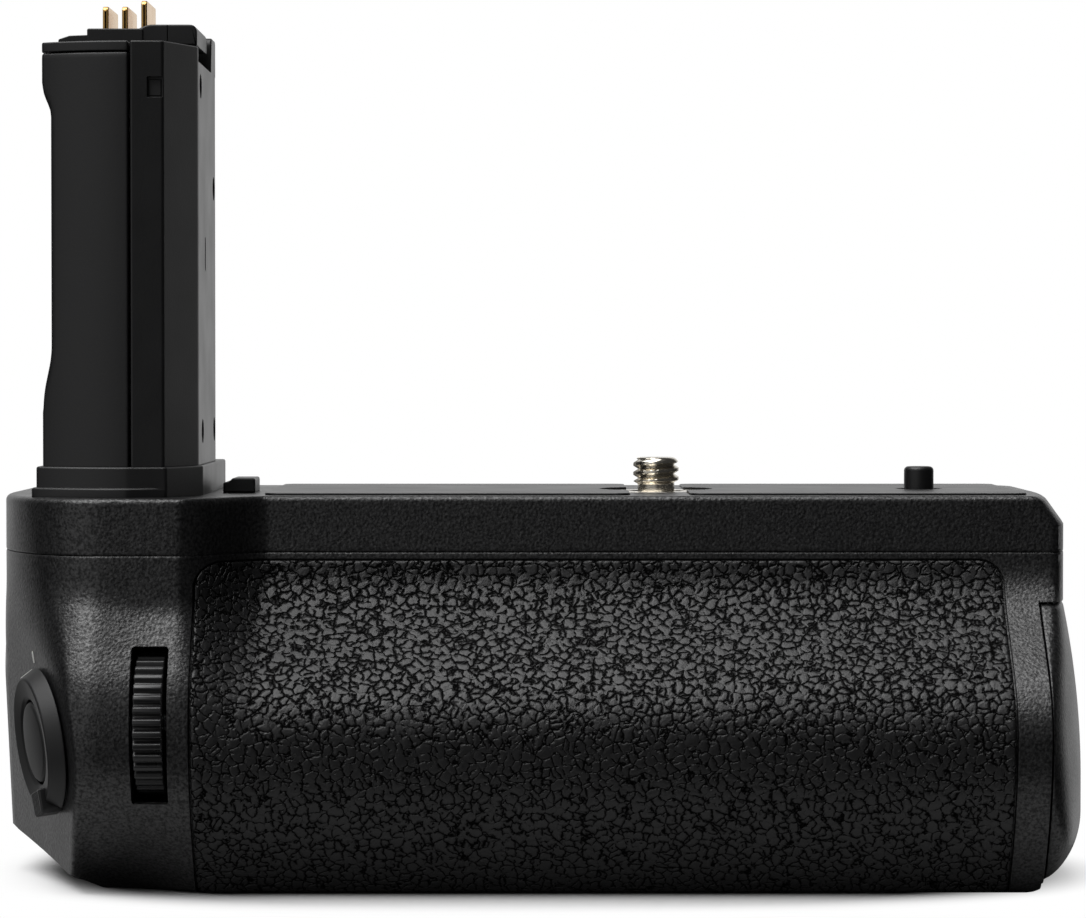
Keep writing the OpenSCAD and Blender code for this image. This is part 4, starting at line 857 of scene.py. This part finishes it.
# %% Shutter button, ring and marks
foot = [(0, -7.8), (1.5, -7.8), (1.5, -2), (3.6, -2), (3.6, 0.2), (5.3, 0.2), (5.375, 0.3)]
crown = [(4.2, 2.16), (3.0, 2.26), (1.6, 2.32), (0, 2.34)]
button = lathe("shutter_button_dome", foot + arc(4.675, 1.4, 0.7) + crown, 96, on_facet)
dress(button, button_black, "shutter_button", "shutter_button", 40)
inner, outer = 5.655, 9.6
lip = [(8.25 + 0.45 * math.sin(a), 1.95 + 0.45 * math.cos(a)) for a in np.linspace(1.15, 0, 6)]
skirt = [(inner + 0.4, -6.5), (7.0, -6.5), (7.0, 0.25), (outer - 0.12, 0.25), (outer, 0.37), (outer - 0.03, 0.55)]
bore = [(inner + 0.6, 2.08), (inner + 0.25, 1.98), (inner, 1.7), (inner, -0.4), (inner + 0.4, -0.4)]
lock = lathe("shutter_lock_ring_turned", skirt + lip + bore, 120, on_facet)
swing = on_facet @ aim(14, "Z")
tab_face = np.add([(-3.2, -2.6), (-0.3, -2.3), (0.1, -1.7), (0.1, 1.7), (-0.3, 2.3), (-3.2, 2.6)], (outer, 0))
tab = push("tool", soften(tab_face, [0.3, 0.5, 0.4, 0.4, 0.5, 0.3]), 0.25, 3.1, soft=0.3, soft_low=0.02, matrix=swing)
join(lock, tab)
carve(lock, *[slab(outer - 3.6, outer + 4, y - 0.2, y + 0.2, 0.05, 2.5, 4, matrix=swing)
              for y in (-1.4, -0.7, 0, 0.7, 1.4)])
dress(lock, button_black, "shutter_lock_ring", "shutter_lock", 40)
mark_side = np.array([[-9.63, 0.55], [-9.3, 0.45], [-8.4, 2.1], [-8.73, 2.2]])
ring_mark = push("lock_ring_mark", mark_side, -0.25, 0.25, "y", matrix=swing)
dress(ring_mark, white_fill, body="shutter_lock", slot="control_plastic")
body_mark = push("lock_body_mark", rounded_rect(-12.0, -10.4, -0.3, 0.3, 0.25), -0.3, 0.06, matrix=swing)
dress(body_mark, white_fill, slot="shell_plastic")

# %% [markdown]
# ## Thumb side controls
# The back was not photographed, so it gets the controls that such grips have: a focus button, a function button, a
# small joystick. Buttons are turned with a domed top; the joystick's cap is dished, with a ring of dimples for grip.

# %% Rear buttons and joystick
def push_button(name, z, r, node):
    face = float(rear(z)) + 1.0
    back = min(float(rear(z - r - 1)), float(rear(z + r + 1))) - WALL - 1.45
    profile = [(0, 28.6), (r + 0.9, 28.6), (r + 0.9, back), (r, back)] + arc(r - 0.6, face - 0.75, 0.6, 6)
    profile += [(r * 0.55, face - 0.04), (0, face)]
    key = lathe(name, profile, 64, aim(-90, "X", (BUTTON_X, 0, z)))
    dress(key, control_black, node, node, 40)


push_button("focus_button_domed", FOCUS_Z, 4.0, "focus_button")
push_button("function_button_domed", FUNCTION_Z, 3.2, "function_button")
on_rear = aim(-90, "X", (STICK_X, 28.6, STICK_Z))
ball = [(0, -1.2), (1.2, -1.2), (2, -0.6), (2, 0.6), (1.3, 1.4), (1.3, 3), (2.4, 4), (3.45, 4.5)]
dish = [(3.6, 4.7), (3.6, 5.4), (3.5, 5.65), (3.25, 5.78), (2.9, 5.72), (2.2, 5.45), (1.1, 5.2), (0, 5.12)]
stick = lathe("joystick_dished", ball + dish, 72, on_rear)
join(stick, push("tool", disc(0.6, STICK_X, 28.6, 24), 16.3, 23.7))
carve(stick, *[push("tool", disc(0.22, a, b, 14), 5.45, 7, matrix=on_rear) for a, b in disc(2.95, steps=16)])
dress(stick, control_black, "joystick", "stick", 40)

# %% [markdown]
# ## Base
# Underneath are a tripod socket and the case screws. The socket's thread is wound like the screw's, but inwards. The
# screws sit in counterbores, with cross recesses.

# %% Tripod socket and case screws
angle = around(120)
rows = [hoop(r, z, len(angle)) for r, z in [(7, 6.1), (7, 2.22), (5.5, 2.22), (5.5, 0.1), (5.4, 0.0), (3.6, 0.0)]]
for z in np.linspace(0.4, 5.2, 56):
    r = 2.55 + 0.55 * (1 - thread(z, angle)) * float(ease((5.2 - z) / 0.6))
    rows.append(hoop(r, z, len(angle)))
rows += [hoop(r, 5.6, len(angle)) for r in (2.5, 0.6)]
dress(skin("tripod_socket_turned", rows), nickel, "tripod_socket", smooth=35)
heads = [join(cross_head("case_screw_heads", 1.9, 0.9, aim(180, "X", (x, y, h - 2.2))),
              push("tool", disc(1.0, x, y, 32), h - 1.5, h + 8.2)) for x, y, h in CASE_POSTS]
dress(join(heads[0], *heads[1:]), black_steel, "case_screws")

# %% [markdown]
# ## Tray, batteries and latch
# With the latch turned the tray slides out. The batteries are two rounded packs with a parting line and a contact
# window; the latch is a disc with a fin for the thumb, and a tongue behind the wall.

# %% Batteries and latch
TRAY_X, TRAY_Z = -36.6, 8.0
for i, node in enumerate(("battery_1", "battery_2")):
    x0 = TRAY_X + 1.3 + i * 41.5
    pack = push(node + "_pack", rounded_rect(x0, x0 + 40, -29.7, 26.3, 2.0), TRAY_Z + 1.25, TRAY_Z + 21.75,
                soft=0.8)
    carve(pack, carve(slab(x0 - 1, x0 + 41, -30.7, 27.3, 2.0, 19.4, 19.65),
                      slab(x0 + 0.25, x0 + 39.75, -29.45, 26.05, 1.8, 19, 20)),
          *[brick(x0 + a, x0 + a + 3.2, -31, -29.1, 12.5, 17.5) for a in (8, 15, 22, 29)],
          slab(x0 + 6, x0 + 34, -22, 19, 1.5, TRAY_Z + 21.55, TRAY_Z + 23))
    dress(pack, battery_grey, node, "tray")
latch = push("tray_latch_disc", disc(3.3, 0, LATCH_Z, 72), 53.9, 54.7, "x", soft=0.15)
join(latch, drill("x", 45.8, 54.2, 0, LATCH_Z, 1.95),
     slab(-2.5, 2.5, LATCH_Z - 0.75, LATCH_Z + 0.75, 0.6, 54.3, 55.6, "x", soft=0.3),
     slab(-3.2, 3.2, LATCH_Z - 1.5, LATCH_Z + 1.5, 0.3, 45.9, 47.5, "x", soft=0.1))
dress(latch, control_black, "tray_latch", "latch", 40)

# %% [markdown]
# ## What stays as CAD
# Pieces inside the body, which show only through a window or with the tray out, keep their CAD meshes. Each gets its
# finish, and the sharpest mouldings also a bevel modifier that breaks their edges, because no moulded or stamped edge
# is perfectly sharp.

# %% Finishes for the carried-over solids
finish_for = {"shell_plastic": shell_black, "grip_rubber": inner_black, "stalk_plastic": stalk_black,
              "control_plastic": control_black, "inner_plastic": inner_black, "gold_contact": gold,
              "screw_steel": nickel, "black_screw": black_steel, "pin_steel": pin_steel,
              "bracket_alloy": bracket_alloy, "gear_brass": gear_brass, "board_laminate": laminate,
              "ribbon_film": ribbon_film, "battery_case": battery_grey}
sharp_mouldings = ("tray_frame", "battery_chamber", "tray_gasket", "joystick_socket", "front_dial_carrier",
                   "rear_dial_carrier")
for name, node in frame["nodes"].items():
    node.data.materials.clear()
    node.data.materials.append(finish_for[slot_of[name]])
    if name in sharp_mouldings:
        soft = node.modifiers.new("broken edge", "BEVEL")
        soft.width, soft.segments = 0.15 * MM, 2
        soft.limit_method, soft.angle_limit = "ANGLE", math.radians(50)
print("finishes set on", len(frame["nodes"]), "solids")

# %% [markdown]
# ## Stage, light and camera
# The photograph is a plain shop picture: white floor, white background, one broad soft light overhead, and little
# light from the front, so black surfaces that face the viewer stay dark while slopes that face up shine. The paper is
# white to the eye, greyer to the light it throws back up, and fades into the background.

# %% Floor
floor_white, tree, place_on = new_finish("paper_sweep_white")
fibre = add(tree, "TexNoise", {"Vector": place_on, "Scale": per_mm(2.0), "Detail": 3.0})
tone = add(tree, "ValToRGB", {"Fac": fibre}, stops=((0.0, "#f6f6f6"), (1.0, "#fafafa")))
eye = add(tree, "LightPath").outputs["Is Camera Ray"]
sheet = add(tree, "Mix", {0: eye, 6: linear("#b0b0b0"), 7: tone}, data_type="RGBA").outputs[2]
paper = add(tree, "BsdfPrincipled", {"Base Color": sheet, "Roughness": 0.9, "Specular IOR Level": 0.0})
reach_x, reach_y = 0.074, 0.046
from_grip = add(tree, "Mapping", {"Vector": place_on, "Location": (0.23, 0.1, 0),
                                  "Scale": (1 / reach_x, 1 / reach_y, 0)})
away = add(tree, "VectorMath", {0: from_grip}, operation="LENGTH").outputs["Value"]
fade = add(tree, "MapRange", {"Value": away, "From Min": 0.85, "From Max": 1.12}, interpolation_type="SMOOTHSTEP")
seen = add(tree, "Math", {0: fade, 1: eye}, operation="MULTIPLY")
backdrop = add(tree, "Emission", {"Color": (1, 1, 1, 1), "Strength": 1.0})
both = add(tree, "MixShader", {0: seen, 1: paper, 2: backdrop})
add(tree, "OutputMaterial", {"Surface": both})
floor = solid("floor", [(-101, -57, -0.02), (67, -57, -0.02), (67, 47, -0.02), (-101, 47, -0.02)], [[0, 1, 2, 3]])
floor.data.materials.append(floor_white)
print("stage:", floor.name, "in", floor_white.name)

# %% [markdown]
# The world is told apart by kind of ray: white for the camera, a dim grey for soft light, and for reflections white
# behind the object, pale at the front left and dark elsewhere.

# %% World
world = bpy.data.worlds.new("studio")
bpy.context.scene.world = world
world.use_nodes = True
tree = world.node_tree
tree.nodes.clear()
rays = add(tree, "LightPath")
heading = add(tree, "TexCoord").outputs["Generated"]
across = add(tree, "SeparateXYZ", {0: heading})
behind = add(tree, "MapRange", {"Value": across.outputs["Y"], "From Min": 0.6, "To Min": 0.04},
             interpolation_type="SMOOTHSTEP")
toward = add(tree, "VectorMath", {0: heading, 1: (-0.64, -0.75, 0.15)}, operation="DOT_PRODUCT").outputs["Value"]
side = add(tree, "MapRange", {"Value": toward, "From Min": 0.66, "From Max": 0.97, "To Max": 0.5},
           interpolation_type="SMOOTHSTEP")
both = add(tree, "Math", {0: behind, 1: side}, operation="ADD")
mirror = add(tree, "Math", {0: rays.outputs["Is Glossy Ray"], 1: rays.outputs["Is Transmission Ray"]},
             operation="MAXIMUM")
seen = add(tree, "Mix", {0: mirror, 2: 0.12, 3: both}, data_type="FLOAT")
level = add(tree, "Mix", {0: rays.outputs["Is Camera Ray"], 2: seen, 3: 1.0}, data_type="FLOAT")
glow = add(tree, "Background", {"Color": (1, 1, 1, 1), "Strength": level})
add(tree, "OutputWorld", {"Surface": glow})
print("world:", world.name, "with", len(tree.nodes), "nodes")

# %% [markdown]
# Two sun lamps with wide discs act as softboxes: a strong one overhead, even over the whole floor, and a weak one from
# the front left. A long lens from over half a metre away keeps the sides nearly parallel, as in the photograph.

# %% Lamps and camera
def softbox(name, energy, angle, heading):
    lamp = bpy.data.lights.new(name, "SUN")
    lamp.energy, lamp.angle = energy, math.radians(angle)
    holder = bpy.data.objects.new(name, lamp)
    holder.rotation_euler = Vector(heading).to_track_quat("-Z", "Y").to_euler()
    bpy.context.scene.collection.objects.link(holder)


softbox("overhead_softbox", 2.9, 56, (0.28, 0.08, -0.95))
softbox("front_softbox", 0.6, 26, (0.36, 0.50, -0.79))

lens = bpy.data.cameras.new("shop_camera")
lens.sensor_width, lens.lens = 36.0, 133.66
lens.clip_start, lens.clip_end = 0.05, 20.0
camera = bpy.data.objects.new("shop_camera", lens)
camera.location = (-0.0157, -0.560, 0.069)
target = Vector((-0.0157, 0.0, 0.0566))
camera.rotation_euler = (target - camera.location).to_track_quat("-Z", "Y").to_euler()
bpy.context.scene.collection.objects.link(camera)
bpy.context.scene.camera = camera
bpy.context.scene.view_settings.view_transform = "Standard"
print("camera", round(camera.location.length, 3), "m from the socket")

# %% [markdown]
# ## Last update
# The view layer is brought up to date. The dressed grip must fill the same box as its solids.

# %% Update
bpy.context.view_layer.update()
